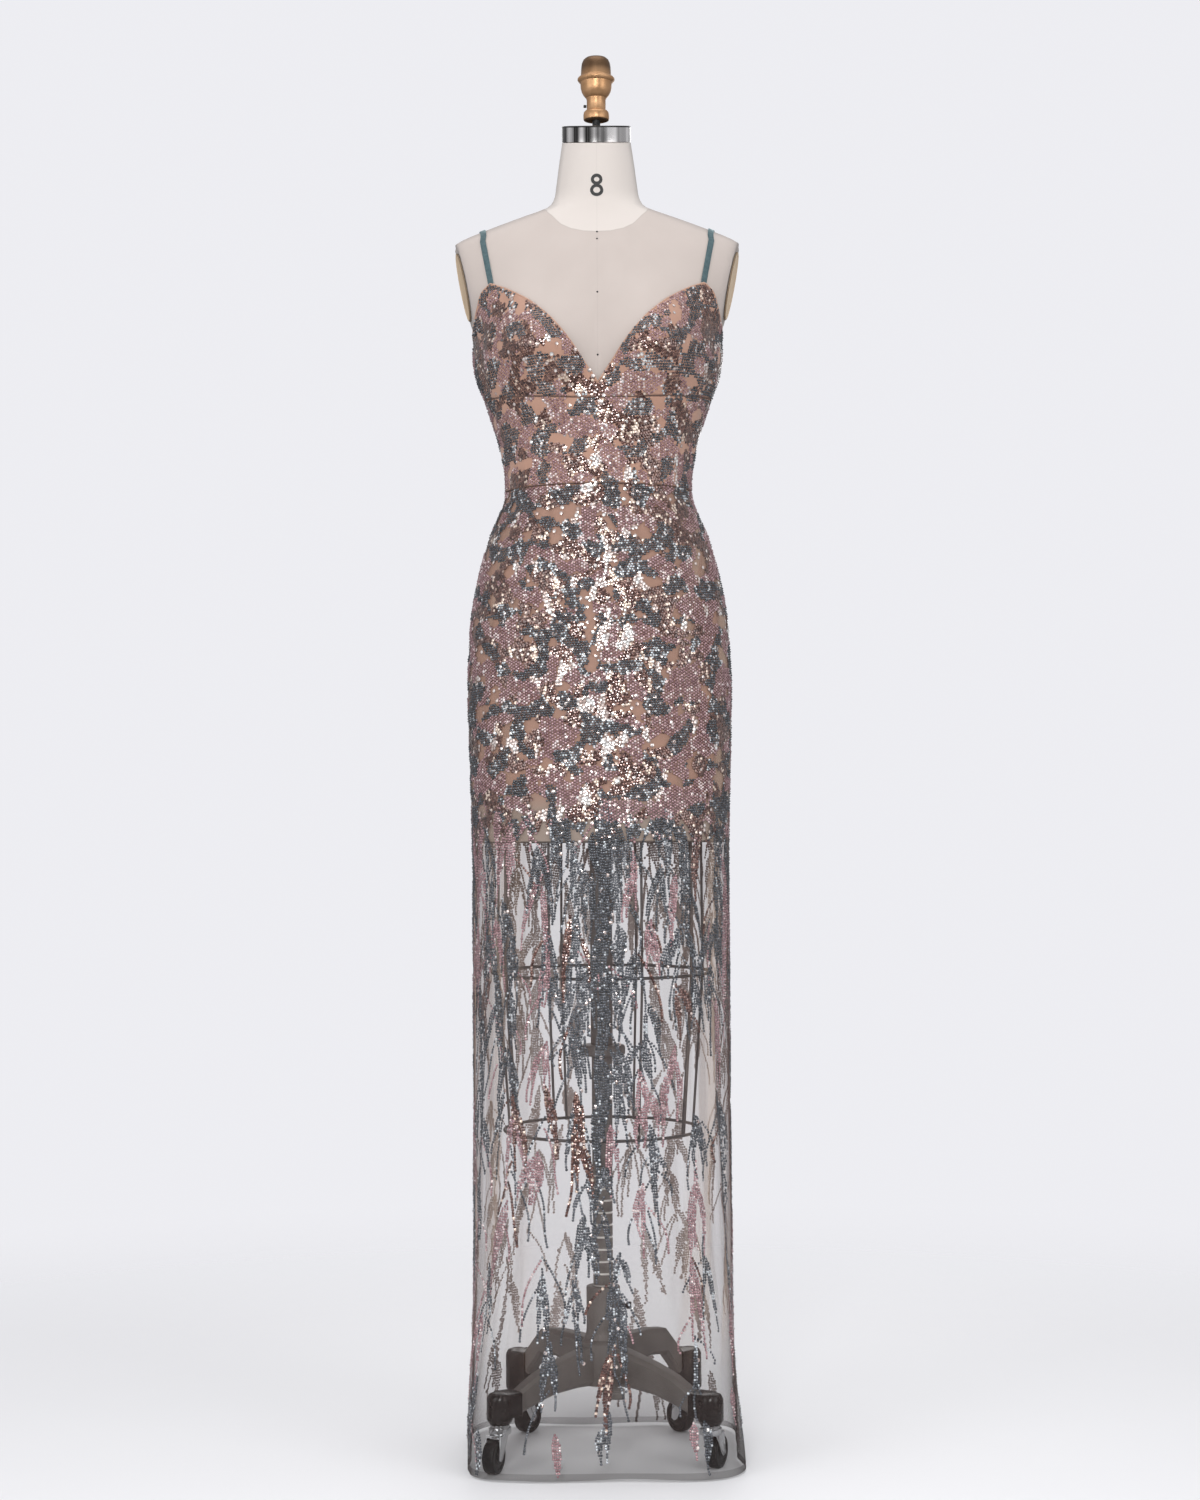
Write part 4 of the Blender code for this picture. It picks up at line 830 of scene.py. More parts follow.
# %% [markdown]
# ## Where the beads go
#
# Beads are sewn in rows at an even pitch, measured along the cloth. So the layout is
# worked out flat, as a distance round from the centre front and a height, and only then
# turned into angles on the gown. For that, the length round the gown is measured once
# at every centimetre of height.

# %% Distance round the gown
LEVEL_STEP = 0.01
LEVELS = np.arange(0, 1.56, LEVEL_STEP)
RING_ANGLES = np.arange(-180, 180.1, 1.5)
rings = cloth_surface(RING_ANGLES[None, :], LEVELS[:, None])
ring_steps = np.linalg.norm(np.diff(rings, axis=1), axis=-1)
ROUND = np.concatenate((np.zeros((len(LEVELS), 1)), np.cumsum(ring_steps, 1)), 1)
ROUND -= ROUND[:, [len(RING_ANGLES) // 2]]


def angle_at(around, height):
    """The angle at a distance round from the centre front, NaN past the centre back."""
    level = np.clip(height / LEVEL_STEP, 0, len(LEVELS) - 1.001)
    lower = level.astype(int)
    found = np.full((2, len(around)), np.nan)
    for row in np.unique(lower):
        pick = lower == row
        for k in (0, 1):
            found[k, pick] = np.interp(around[pick], ROUND[row + k], RING_ANGLES, np.nan, np.nan)
    share = level - lower
    return found[0] * (1 - share) + found[1] * share


def round_at(angle, height):
    """The distance round from the centre front at an angle."""
    row = int(min(max(height / LEVEL_STEP, 0), len(LEVELS) - 1))
    return float(np.interp(angle, RING_ANGLES, ROUND[row]))


for label, row in (("waist", 127), ("hip", 100)):
    print("round the", label, round(2 * float(ROUND[row, -1]), 3))

# %% [markdown]
# ## The broken patches of the upper part
#
# Down to the thigh the trim makes broken patches of slate, pink and bronze, with bare
# cloth between. The layout here is this lesson's own: five soft noise fields compete,
# four for the colours and one for the bare cloth, and at each place the strongest one
# wins. A different seed for each field gives patches that never repeat. Bronze and rose
# claim more down the centre front, and slate and bronze more in the cups; the pale rose
# sequins there stand in tall streaks, partly real trim and partly a painted glint where
# the front catches the light. Each colour is sewn in rows of its own direction, which is
# what tells the patches apart close up.

# %% Claims on the cloth
# Colour, pitch and direction of its rows, how strongly it claims cloth, width and height
# of its patches
ROWS = (
    ("slate_beads", 0.0035, 3.0, 0.090, 0.030, 0.026),
    ("pink_beads", 0.0038, 31.0, 0.050, 0.028, 0.031),
    ("bronze_sequins", 0.0038, 12.0, -0.020, 0.027, 0.024),
    ("rose_sequins", 0.0044, 78.0, -0.300, 0.015, 0.040),
)
SLATE, BRONZE, ROSE = 0, 2, 3
BARE_CLAIM, BARE_PATCH, BARE_SEED = -0.075, 0.023, 51.9
SEED_STEP = 11.3
# The rose share down the centre front is partly a painted glint
CENTRE_WIDE, CENTRE_ROSE_GLINT_TOP = 0.068, 1.40
CENTRE_BRONZE, CENTRE_ROSE_GLINT = 0.08, 0.24
CUPS_FROM, CUPS_RISE, CUP_SLATE, CUP_BRONZE = 1.36, 0.04, 0.06, 0.10
STRAY = 0.008
# Share and fineness of the soft shapes and of their ragged edges
OCTAVES = ((1.0, 1.0), (0.20, 2.3))
random = np.random.default_rng(8)


def field(around, height, seed, wide, tall):
    """Soft noise over the flat cloth, with a ragged edge."""
    return np.array([
        sum(share * noise.noise(Vector((u / wide * fine, v / tall * fine, seed * fine)))
            for share, fine in OCTAVES)
        for u, v in zip(around, height)
    ])


def claims_at(around, height):
    """How strongly each colour, and last the bare cloth, claims each place."""
    rows = [field(around, height, SEED_STEP * k, *row[4:]) + row[3] for k, row in enumerate(ROWS)]
    centre = np.exp(-((around / CENTRE_WIDE) ** 2))
    rows[BRONZE] = rows[BRONZE] + CENTRE_BRONZE * centre
    # Partly painted glint: pale rose sequins crowd down the centre front
    rows[ROSE] = rows[ROSE] + CENTRE_ROSE_GLINT * centre * (height < CENTRE_ROSE_GLINT_TOP)
    in_cups = np.clip((height - CUPS_FROM) / CUPS_RISE, 0, 1)
    rows[SLATE] = rows[SLATE] + CUP_SLATE * in_cups
    rows[BRONZE] = rows[BRONZE] + CUP_BRONZE * in_cups
    rows.append(field(around, height, BARE_SEED, BARE_PATCH, BARE_PATCH) + BARE_CLAIM)
    return np.stack(rows) + random.normal(0, STRAY, (len(rows), len(around)))


print("fields that compete:", len(ROWS) + 1)

# %% Rows of places
FIELD_HALF, ROUND_HALF = 1.1, 0.62
ROW_CLOSE, UNEVEN = 0.9, 0.07


def lattice(pitch, turn, low, high):
    """A slanting field of rows over the flat cloth, with a little unevenness."""
    across = np.arange(-FIELD_HALF, FIELD_HALF, pitch)
    down = np.arange(-FIELD_HALF, FIELD_HALF, pitch * ROW_CLOSE)
    u, v = np.meshgrid(across, down)
    u = u + (np.arange(len(down)) % 2)[:, None] * pitch / 2
    c, s = math.cos(math.radians(turn)), math.sin(math.radians(turn))
    around, height = (u * c - v * s).ravel(), (u * s + v * c).ravel() + (low + high) / 2
    keep = (abs(around) < ROUND_HALF) & (height > low) & (height < high)
    around, height = around[keep], height[keep]
    around = around + random.uniform(-1, 1, len(around)) * pitch * UNEVEN
    height = height + random.uniform(-1, 1, len(height)) * pitch * UNEVEN
    return around, height


print("slate beads in a row round the front", round(ROUND_HALF / ROWS[SLATE][1]))

# %% [markdown]
# ## Filling the patches
#
# Every colour's rows are laid over the whole upper part, and only the places where that
# colour wins are kept. The lower edge is ragged, so that the patches run out into the
# sprays instead of stopping at a line. Single rose sequins are then scattered over the
# rest, closest down the centre, where the trim catches the most light: partly real
# sequins, partly a painted glint in their pale colour.

# %% Filling the patches
TRIM_TOP = 1.54
PATCHES_END, PATCHES_OVER = 0.815, 0.02
# How ragged the lower edge is, its seed, and the width and height of its tongues
RAGGED, RAGGED_SEED, TONGUE_WIDE, TONGUE_TALL = 0.03, 77.0, 0.012, 0.08
SCATTER_PITCH, SCATTER_TURN, SCATTER_FROM, SCATTER_LOOSE = 0.0105, 20.0, 0.80, 0.004
SCATTER_SHARE, SCATTER_GLINT_CENTRE = 0.18, 0.40

layout = {}
for number, (colour, pitch, turn, *_) in enumerate(ROWS):
    around, height = lattice(pitch, turn, PATCHES_END - PATCHES_OVER, TRIM_TOP)
    ragged = PATCHES_END + RAGGED * field(around, height, RAGGED_SEED, TONGUE_WIDE, TONGUE_TALL)
    keep = (claims_at(around, height).argmax(0) == number) & (height > ragged)
    layout[colour] = (around[keep], height[keep])
around, height = lattice(SCATTER_PITCH, SCATTER_TURN, SCATTER_FROM, TRIM_TOP)
around = around + random.uniform(-SCATTER_LOOSE, SCATTER_LOOSE, len(around))
height = height + random.uniform(-SCATTER_LOOSE, SCATTER_LOOSE, len(height))
# Partly painted glint: single rose sequins are closest down the centre
chance = SCATTER_SHARE + SCATTER_GLINT_CENTRE * np.exp(-((around / CENTRE_WIDE) ** 2))
winner = claims_at(around, height).argmax(0)
keep = (winner != ROSE) & (random.random(len(around)) < chance)
scattered = (around[keep], height[keep])
layout["rose_sequins"] = tuple(map(np.concatenate, zip(layout["rose_sequins"], scattered)))
shares = np.bincount(winner) / len(winner)
print("shares of slate, pink, bronze, rose and bare:", np.round(shares, 2))
for colour, (around, height) in layout.items():
    print(colour, len(around))

# %% [markdown]
# ## The trailing sprays of the skirt
#
# Below the thigh the patches run out into sprays that hang down the sheer net, thick at
# the top and sparse near the floor. A spray is a chain of slim leaves, two or three at
# each step and on alternate sides, each filled with strings of beads that close up at
# its tips. A leaf whose cloth is crowded is left out, and a cell of cloth that already
# has a bead takes no second one. Every leaf takes its length, width and lean from a
# seeded generator.

# %% A leaf
STRING_PITCH, BEAD_PITCH, CELL = 0.0030, 0.0034, 0.0026
CROWDED = 0.45
LEAF_SWAY, TIP_SLANT, LOWEST_BEAD = 0.005, 0.25, 0.004
# A leaf is widest above its middle, and its tips are not quite closed
SWELL_POWER, SWELL_TIP = 0.66, 0.03
random = np.random.default_rng(21)
taken = set()
sprays = {"slate_beads": [], "pink_beads": [], "bronze_sequins": [], "rose_sequins": []}


def cells_of(beads):
    """The cells of cloth that some beads sit in."""
    return [(round(around / CELL), round(height / CELL)) for around, height in beads]


def leaf(colour, angle, offset, top, length, width, reach):
    """Sew a slim leaf that swings out from its stem and hangs down, if there is room."""
    steps = round(length / BEAD_PITCH)
    sway, phase = random.uniform(-LEAF_SWAY, LEAF_SWAY), random.uniform(0, 6)
    beads = []
    for k in range(steps + 1):
        share = k / steps
        height = top - share * length
        spine = round_at(angle, height) + offset + reach * (1 - (1 - share) ** 2)
        spine += sway * math.sin(phase + 5 * share) * share
        swell = width * math.sin(math.pi * min(1.0, share**SWELL_POWER + SWELL_TIP))
        strings = max(1, round(swell / STRING_PITCH))
        for n in range(strings):
            across = (n - (strings - 1) / 2) * STRING_PITCH
            beads.append((spine + across, height + TIP_SLANT * abs(across)))
    cells = cells_of(beads)
    if sum(cell in taken for cell in cells) > CROWDED * len(cells):
        return
    for cell, bead in zip(cells, beads):
        if cell not in taken and bead[1] > HEM + LOWEST_BEAD:
            taken.add(cell)
            sprays[colour].append(bead)


for around, height in layout.values():
    taken.update(cells_of(zip(around, height)))
print("cells taken by the patches", len(taken))

# %% A chain of leaves
SPRAY_COLOURS = ("slate_beads", "pink_beads", "bronze_sequins")
CHAIN_SLATE, NOT_BRONZE, CHAIN_BRONZE = 0.65, 0.92, 0.08
LEAF_LENGTH, LEAF_WIDTH, LEAF_REACH = (0.060, 0.125), (0.006, 0.0145), (-0.012, 0.026)
CHAIN_WANDER, CHAIN_REACH = 0.010, 0.022


def chain(angle, top, bottom, fullness, slate=CHAIN_SLATE):
    """Fans of leaves down a stem, on alternate sides; returns where tendrils can start."""
    height, offset, side = top, 0.0, random.choice((-1, 1))
    stems = []
    while height > bottom:
        colour = random.choice(SPRAY_COLOURS, p=(slate, NOT_BRONZE - slate, CHAIN_BRONZE))
        length = random.uniform(*LEAF_LENGTH)
        for _ in range(random.integers(2, 4)):
            reach = side * random.uniform(*LEAF_REACH)
            start = height - length * random.uniform(0.0, 0.35)
            long, wide = length * random.uniform(0.6, 1.0), random.uniform(*LEAF_WIDTH) * fullness
            leaf(colour, angle, offset, start, long, wide, reach)
        stems.append((colour, angle, offset, height, length))
        height -= length * random.uniform(0.55, 0.95)
        side = -side
        wander = random.normal(0, CHAIN_WANDER)
        offset = float(np.clip(offset + wander, -CHAIN_REACH, CHAIN_REACH))
    return stems


print("a chain is slate in", CHAIN_SLATE, "of its steps")

# %% [markdown]
# ## Where the sprays hang
#
# A slate stem runs down the centre front, with three chains of its own beside it. The
# others start round the gown at four levels, fewer at each, and stand closer together
# towards the sides. A last ring of short leaves hangs over the hem, and tendrils, which
# are single strings of beads, curl away from the stems. A few rose sequins glint in
# between. Rings of even chains would be quicker, but they read as a printed border.

# %% Stem and chains
# Chains round the gown, where they start and end, how far that varies, how full they are
CHAIN_RINGS = (
    (40, 0.850, 0.700, 0.07, 1.0),
    (24, 0.700, 0.480, 0.09, 1.0),
    (16, 0.470, 0.310, 0.07, 1.0),
    (13, 0.290, 0.150, 0.05, 0.9),
)
SIDE_CROWDING = 6.0
CENTRE_STEM_TOP, CENTRE_STEM_STEP, CENTRE_LEAF = 0.862, 0.042, 0.100
CENTRE_STEM_WIDTHS = (0.024, 0.021, 0.019, 0.018, 0.014, 0.008, 0.006, 0.013, 0.022, 0.017, 0.008)
# Angle, top and bottom of the chains beside the stem
CENTRE_CHAINS = ((-4.5, 0.84, 0.60), (5.0, 0.84, 0.56), (0.5, 0.40, 0.16))
CENTRE_FULLNESS, CENTRE_SLATE = 1.1, 0.80
stems = []
for k, width in enumerate(CENTRE_STEM_WIDTHS):
    top, aside = CENTRE_STEM_TOP - CENTRE_STEM_STEP * k, random.uniform(-0.004, 0.004)
    leaf("slate_beads", 0.0, aside, top, CENTRE_LEAF, width, random.uniform(-0.008, 0.008))
for angle, top, bottom in CENTRE_CHAINS:
    stems += chain(angle, top, bottom, CENTRE_FULLNESS, CENTRE_SLATE)
for count, top, bottom, vary, fullness in CHAIN_RINGS:
    for k in range(count):
        turn = -180 + 360 * (k + random.uniform(0.2, 0.8)) / count
        angle = turn + SIDE_CROWDING * math.sin(2 * math.radians(turn))
        start = top + random.uniform(-0.2, 0.2) * vary
        stems += chain(angle, start, bottom + random.uniform(-1, 1) * vary, fullness)
print("steps of the chains", len(stems))

# %% Hem leaves, tendrils and glints
HEM_LEAVES, HEM_LEAF_WIDTH = 20, 0.012
HEM_LEAF_TOP, HEM_LEAF_LENGTH = (0.05, 0.11), (0.035, 0.075)
TENDRIL_SHARES = (0.45, 0.30, 0.08, 0.17)
TENDRIL_SWING, TENDRIL_LENGTH = (0.006, 0.034), (0.035, 0.095)
GLINT_EVERY, GLINT_ASIDE = 55, 0.001
for k in range(HEM_LEAVES):
    colour = random.choice(("slate_beads", "pink_beads"))
    angle = -180 + 360 / HEM_LEAVES * (k + random.random())
    top, long = random.uniform(*HEM_LEAF_TOP), random.uniform(*HEM_LEAF_LENGTH)
    leaf(colour, angle, 0.0, top, long, HEM_LEAF_WIDTH, random.uniform(-0.005, 0.005))
for colour, angle, offset, top, length in stems:
    for _ in range(random.integers(1, 4)):
        choices = (colour, "slate_beads", "bronze_sequins", "pink_beads")
        other = random.choice(choices, p=TENDRIL_SHARES)
        swing = random.choice((-1, 1)) * random.uniform(*TENDRIL_SWING)
        start = top - length * random.uniform(0.0, 0.8)
        leaf(other, angle, offset, start, random.uniform(*TENDRIL_LENGTH), 0.0, swing)
glints = [place for colour in SPRAY_COLOURS for place in sprays[colour][::GLINT_EVERY]]
sprays["rose_sequins"] = [(around + GLINT_ASIDE, height) for around, height in glints]
for colour, places in sprays.items():
    print(colour, "in sprays", len(places))

# %% [markdown]
# ## Sewing the beads on
#
# About eighty thousand beads are not modelled one by one. A Geometry Nodes tree puts a
# small six sided dome on every point, turns it to the cloth's normal with a random tilt
# and realizes the instances into a plain mesh. It also stores how far down the dome each
# corner lies, as "rim", while the points themselves carry the tone. A dome of six
# triangles is enough at this size, and a flatter one makes a sequin.

# %% The sewing tree
FULL_TURN = math.tau
SEWING_INPUTS = (
    ("Radius", "Float"), ("Height", "Float"), ("Sides", "Int"), ("Tilt", "Float"),
    ("Seed", "Int"), ("Rounded", "Bool"), ("Material", "Material"),
)


def new_tree(name, inputs):
    """A Geometry Nodes tree; returns it with its nodes, its ends and its inputs' names."""
    tree = bpy.data.node_groups.new(name, "GeometryNodeTree")
    for way in ("INPUT", "OUTPUT"):
        tree.interface.new_socket("Geometry", in_out=way, socket_type="NodeSocketGeometry")
    keys = {}
    for label, kind in inputs:
        socket = tree.interface.new_socket(label, in_out="INPUT", socket_type="NodeSocket" + kind)
        keys[label] = socket.identifier
    start, end = tree.nodes.new("NodeGroupInput"), tree.nodes.new("NodeGroupOutput")
    return tree, tree.nodes, start.outputs, end.inputs[0], keys


def finished(nodes, geometry, material, result):
    """Real geometry with its material, at the end of a tree."""
    real = add(nodes, "GeometryNodeRealizeInstances", {"Geometry": geometry})
    coloured = add(nodes, "GeometryNodeSetMaterial",
                   {"Geometry": real.outputs[0], "Material": material})
    join(nodes, coloured.outputs[0], result)


def sewing_tree():
    """The tree that sews one bead on each point; returns it with its inputs' names."""
    tree, nodes, given, result, keys = new_tree("Sew beads on", SEWING_INPUTS)
    dome = add(nodes, "GeometryNodeMeshCone", {"Vertices": given["Sides"], "Radius Top": 0.0,
               "Radius Bottom": given["Radius"], "Depth": given["Height"]}, fill_type="NONE")
    rounded = add(nodes, "GeometryNodeSetShadeSmooth",
                  {"Geometry": dome.outputs["Mesh"], "Shade Smooth": given["Rounded"]})
    position = add(nodes, "GeometryNodeInputPosition").outputs[0]
    level = add(nodes, "ShaderNodeSeparateXYZ", {0: position})
    share = maths(nodes, "DIVIDE", level.outputs["Z"], given["Height"])
    lower = maths(nodes, "SUBTRACT", 1.0, share)
    rimmed = add(nodes, "GeometryNodeStoreNamedAttribute",
                 {"Geometry": rounded.outputs[0], "Name": "rim", "Value": lower},
                 data_type="FLOAT", domain="POINT")
    facing = add(nodes, "GeometryNodeInputNamedAttribute", {"Name": "facing"},
                 data_type="FLOAT_VECTOR")
    size = add(nodes, "GeometryNodeInputNamedAttribute", {"Name": "size"}, data_type="FLOAT")
    turned = add(nodes, "FunctionNodeAlignRotationToVector", {"Vector": facing.outputs[0]},
                 axis="Z")
    tilt, less = given["Tilt"], maths(nodes, "MULTIPLY", given["Tilt"], -1.0)
    low = add(nodes, "ShaderNodeCombineXYZ", {"X": less, "Y": less})
    high = add(nodes, "ShaderNodeCombineXYZ", {"X": tilt, "Y": tilt, "Z": FULL_TURN})
    lean = add(nodes, "FunctionNodeRandomValue", {"Min": low.outputs[0], "Max": high.outputs[0],
               "Seed": given["Seed"]}, data_type="FLOAT_VECTOR")
    euler = add(nodes, "FunctionNodeEulerToRotation", {"Euler": lean.outputs["Value"]})
    leaning = add(nodes, "FunctionNodeRotateRotation",
                  {"Rotation": turned.outputs[0], "Rotate By": euler.outputs[0]},
                  rotation_space="LOCAL")
    sewn = add(nodes, "GeometryNodeInstanceOnPoints", {"Points": given["Geometry"],
               "Instance": rimmed.outputs[0], "Rotation": leaning.outputs[0],
               "Scale": size.outputs[0]})
    finished(nodes, sewn.outputs[0], given["Material"], result)
    return tree, keys


sewing, sewing_keys = sewing_tree()
print("tree:", sewing.name, "inputs:", list(sewing_keys))


# %% Running a tree
def settle(made):
    """Turn a modifier's result into the piece's own plain mesh."""
    graph = bpy.context.evaluated_depsgraph_get()
    result = bpy.data.meshes.new_from_object(made.evaluated_get(graph))
    made.modifiers.clear()
    made.data = result
    return made


def run_tree(made, tree, keys, values):
    """Run a tree with some values on an object, and keep its result."""
    modifier = made.modifiers.new(tree.name, "NODES")
    modifier.node_group = tree
    for label, value in values.items():
        modifier[keys[label]] = value
    return settle(made)


# %% [markdown]
# ## Which beads flash
#
# Seen from one place, a bead flashes white when it happens to face a light. Left to the
# renderer alone, beads this small would flicker or go grey, so the flashes are painted
# here, as a glint tone in the beads' colour. They come in clusters, from one more noise
# field, mostly down the centre front where the cloth faces the light. A few odd beads
# flash anywhere, more of them near the hem.

# %% Tones of the beads
FLASH_SEED = 91.3
FLASH_WIDE, FLASH_TOP = 0.098, 1.43
FLASH_SIZE = (0.0075, 0.0190)
FLASH_FROM, FLASH_FROM_SHEER, FLASH_CENTRE = 0.40, 0.56, 0.23
FLASH_SHARE, ODD_FLASH, ODD_FLASH_LOW, ODD_LOW = 0.58, 0.025, 0.07, 0.45
SHEER_FROM, SHEER_TO = 0.30, 0.80
TRIMMED_FROM, TRIMMED_RISE = 0.78, 0.16
PLAIN_UNDER, PAINTED_GLINT_OVER = 0.06, 0.03


def tones_and_glints_at(around, height):
    """A tone for each bead; the highest tones are painted glints."""
    trimmed = np.clip((height - TRIMMED_FROM) / TRIMMED_RISE, 0, 1)
    centre = np.exp(-((around / FLASH_WIDE) ** 2)) * (height < FLASH_TOP)
    flash = field(around, height, FLASH_SEED, *FLASH_SIZE)
    odd = random.random(len(around)) < np.where(height < ODD_LOW, ODD_FLASH_LOW, ODD_FLASH)
    least = np.where((height > SHEER_FROM) & (height < SHEER_TO), FLASH_FROM_SHEER, FLASH_FROM)
    # Painted glints: clustered beads take a near-white glint tone
    lit = flash > least - trimmed * centre * FLASH_CENTRE
    lit = lit & (random.random(len(around)) < FLASH_SHARE)
    plain = random.uniform(0, PAINTED_GLINT_FROM - PLAIN_UNDER, len(around))
    return np.where(lit | odd, random.uniform(PAINTED_GLINT_FROM + PAINTED_GLINT_OVER, 1, len(around)), plain)


# %% [markdown]
# ## Which panel a bead is on
#
# A bead belongs to the piece of cloth that it is sewn to, so that every panel has its
# own trim. None is sewn in a seam or over the top edge, because a needle needs a
# millimetre of cloth beside it.

# %% Which panel a bead is on
SEAM_MARGIN = 0.0011
TOP_MARGIN = 0.0011
SIDE_SEAM_MARGIN = 0.0012
NOMINAL_RADIUS = 0.15


def panel_of(angle, height):
    """The name of the panel under each bead; empty in a seam or off the gown."""
    side = np.where(angle < 0, "left", "right").astype("U20")
    front = abs(angle) < 90
    under = underbust(angle)
    names = np.full(len(angle), "", "U24")
    above_waist = height > WAIST_SEAM + SEAM_MARGIN
    below_top = height < top_edge(angle) - TOP_MARGIN
    cup = front & (height > under + SEAM_MARGIN) & below_top
    names[cup] = np.char.add("cup_", side[cup])
    names[front & (height < under - SEAM_MARGIN) & above_waist] = "midriff_front"
    back = ~front & above_waist & below_top
    names[back] = np.char.add("bodice_back_", side[back])
    skirt = height < WAIST_SEAM - SEAM_MARGIN
    names[skirt & front] = "skirt_front"
    names[skirt & ~front] = np.char.add("skirt_back_", side[skirt & ~front])
    seam = np.radians(np.minimum(abs(abs(angle) - 90), 180 - abs(angle))) * NOMINAL_RADIUS
    names[(seam < SIDE_SEAM_MARGIN) | np.isnan(angle)] = ""
    return names


# %% [markdown]
# ## Sewing
#
# Each colour is sewn on each panel in one piece. A bead sits a little off the cloth, and
# a few stand looser than the rest. The points carry what the tree and the finish need as
# named attributes: which way the cloth faces, the size of the bead and its tone.

# %% Sew every colour on every panel
SHAPES = {
    "slate_beads": {"Radius": 0.00185, "Height": 0.0014, "Sides": 6, "Tilt": 0.18, "Rounded": True},
    "pink_beads": {"Radius": 0.00185, "Height": 0.0015, "Sides": 6, "Tilt": 0.16, "Rounded": True},
    "bronze_sequins": {"Radius": 0.00225, "Height": 0.00030, "Sides": 6, "Tilt": 0.11,
                       "Rounded": False},
    "rose_sequins": {"Radius": 0.00255, "Height": 0.00040, "Sides": 8, "Tilt": 0.14,
                     "Rounded": False},
}
BEAD_LIFT, BEAD_LOOSE = 0.0002, 0.0009
BEAD_SIZES = (0.90, 1.08)


def carry(mesh, name, kind, values):
    """Store a value for each point of a mesh under a name."""
    key = "vector" if kind == "FLOAT_VECTOR" else "value"
    mesh.attributes.new(name, kind, "POINT").data.foreach_set(key, np.ravel(values))


trim = {node: [] for node in cloth}
painted_glint_count = 0
for number, (colour, shape) in enumerate(SHAPES.items()):
    around, height = (np.array(column) for column in zip(*sprays[colour]))
    around = np.concatenate((layout[colour][0], around))
    height = np.concatenate((layout[colour][1], height))
    angle = angle_at(around, height)
    names = panel_of(angle, height)
    for node in sorted(set(names) - {""}):
        pick = names == node
        spots = cloth_surface(angle[pick], height[pick])
        up = outward(cloth_surface, angle[pick], height[pick])
        mesh = bpy.data.meshes.new(colour)
        lift = BEAD_LIFT + BEAD_LOOSE * random.random(len(spots)) ** 3
        mesh.from_pydata((spots + up * lift[:, None]).tolist(), [], [])
        carry(mesh, "facing", "FLOAT_VECTOR", up)
        carry(mesh, "size", "FLOAT", random.uniform(*BEAD_SIZES, len(spots)))
        tones_with_glints = tones_and_glints_at(around[pick], height[pick])
        painted_glint_count += int((tones_with_glints > PAINTED_GLINT_FROM).sum())
        carry(mesh, "tone", "FLOAT", tones_with_glints)
        made = linked(colour + "_" + node, mesh)
        values = {**shape, "Seed": number, "Material": BEAD_FINISHES[colour]}
        run_tree(made, sewing, sewing_keys, values)
        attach(made, "form")
        trim[node].append(made)
        print(made.name, "beads", len(spots), "faces", len(made.data.polygons))
print("beads that flash:", painted_glint_count)

# %% [markdown]
# ## Wires and cords
#
# The top edge of the bodice is bound with a narrow tan satin cord. A cord that follows a
# line is a small tree of its own: points joined by edges become a curve, and a circle is
# swept along it. The same tree makes the threads of the seams and, later, the wires of
# the cage.

# %% The wire tree
def wire_tree():
    """The tree that sweeps a circle along joined points."""
    tree, nodes, given, result, keys = new_tree(
        "Sweep a wire", (("Radius", "Float"), ("Sides", "Int"), ("Material", "Material"))
    )
    line = add(nodes, "GeometryNodeMeshToCurve", {"Mesh": given["Geometry"]})
    circle = add(nodes, "GeometryNodeCurvePrimitiveCircle",
                 {"Resolution": given["Sides"], "Radius": given["Radius"]})
    swept = add(nodes, "GeometryNodeCurveToMesh",
                {"Curve": line.outputs[0], "Profile Curve": circle.outputs[0], "Fill Caps": True})
    rounded = add(nodes, "GeometryNodeSetShadeSmooth", {"Geometry": swept.outputs[0]})
    finished(nodes, rounded.outputs[0], given["Material"], result)
    return tree, keys


wiring, wiring_keys = wire_tree()


def wire(name, paths, radius, sides, finish, closed=False):
    """Wires of one radius along some paths, in one piece on the form."""
    points, edges = [], []
    for path in paths:
        first = len(points)
        points += [tuple(point) for point in path]
        edges += [(k, k + 1) for k in range(first, len(points) - 1)]
        if closed:
            edges.append((len(points) - 1, first))
    mesh = bpy.data.meshes.new(name)
    mesh.from_pydata(points, edges, [])
    made = linked(name, mesh)
    run_tree(made, wiring, wiring_keys, {"Radius": radius, "Sides": sides, "Material": finish})
    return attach(made, "form")


# %% Binding round the neckline
BINDING_RADIUS, BINDING_SUNK = 0.0013, 0.0007
binding_paths = []
for side in (1, -1):
    angles = side * np.concatenate((np.linspace(0.3, 90, 140), np.linspace(91, 179.7, 90)))
    edge = top_edge(angles)
    sunk = outward(cloth_surface, angles, edge) * BINDING_SUNK
    binding_paths.append(cloth_surface(angles, edge) - sunk)
binding = wire("neckline_binding", binding_paths, BINDING_RADIUS, 8, satin_binding)
print("binding triangles", len(binding.data.polygons) * 2)

# %% [markdown]
# ## Lines of the seams
#
# Where two panels meet, the trim stops and a row of stitches shows, with the seam's
# shadow line along it. Cut in the cloth alone, so fine a line is lost between the beads,
# so the underbust, the waist and the side seams each get a thin dark thread laid along
# them, half sunk in the cloth: real stitches, and a painted shadow line in their colour.

# %% Lines of the seams
SEAM_LINE_RADIUS, SEAM_LINE_SUNK = 0.0008, 0.0002
SIDE_SEAM_TOP, SIDE_SEAM_BOTTOM, SIDE_SEAM_POINTS = 1.474, 0.012, 240


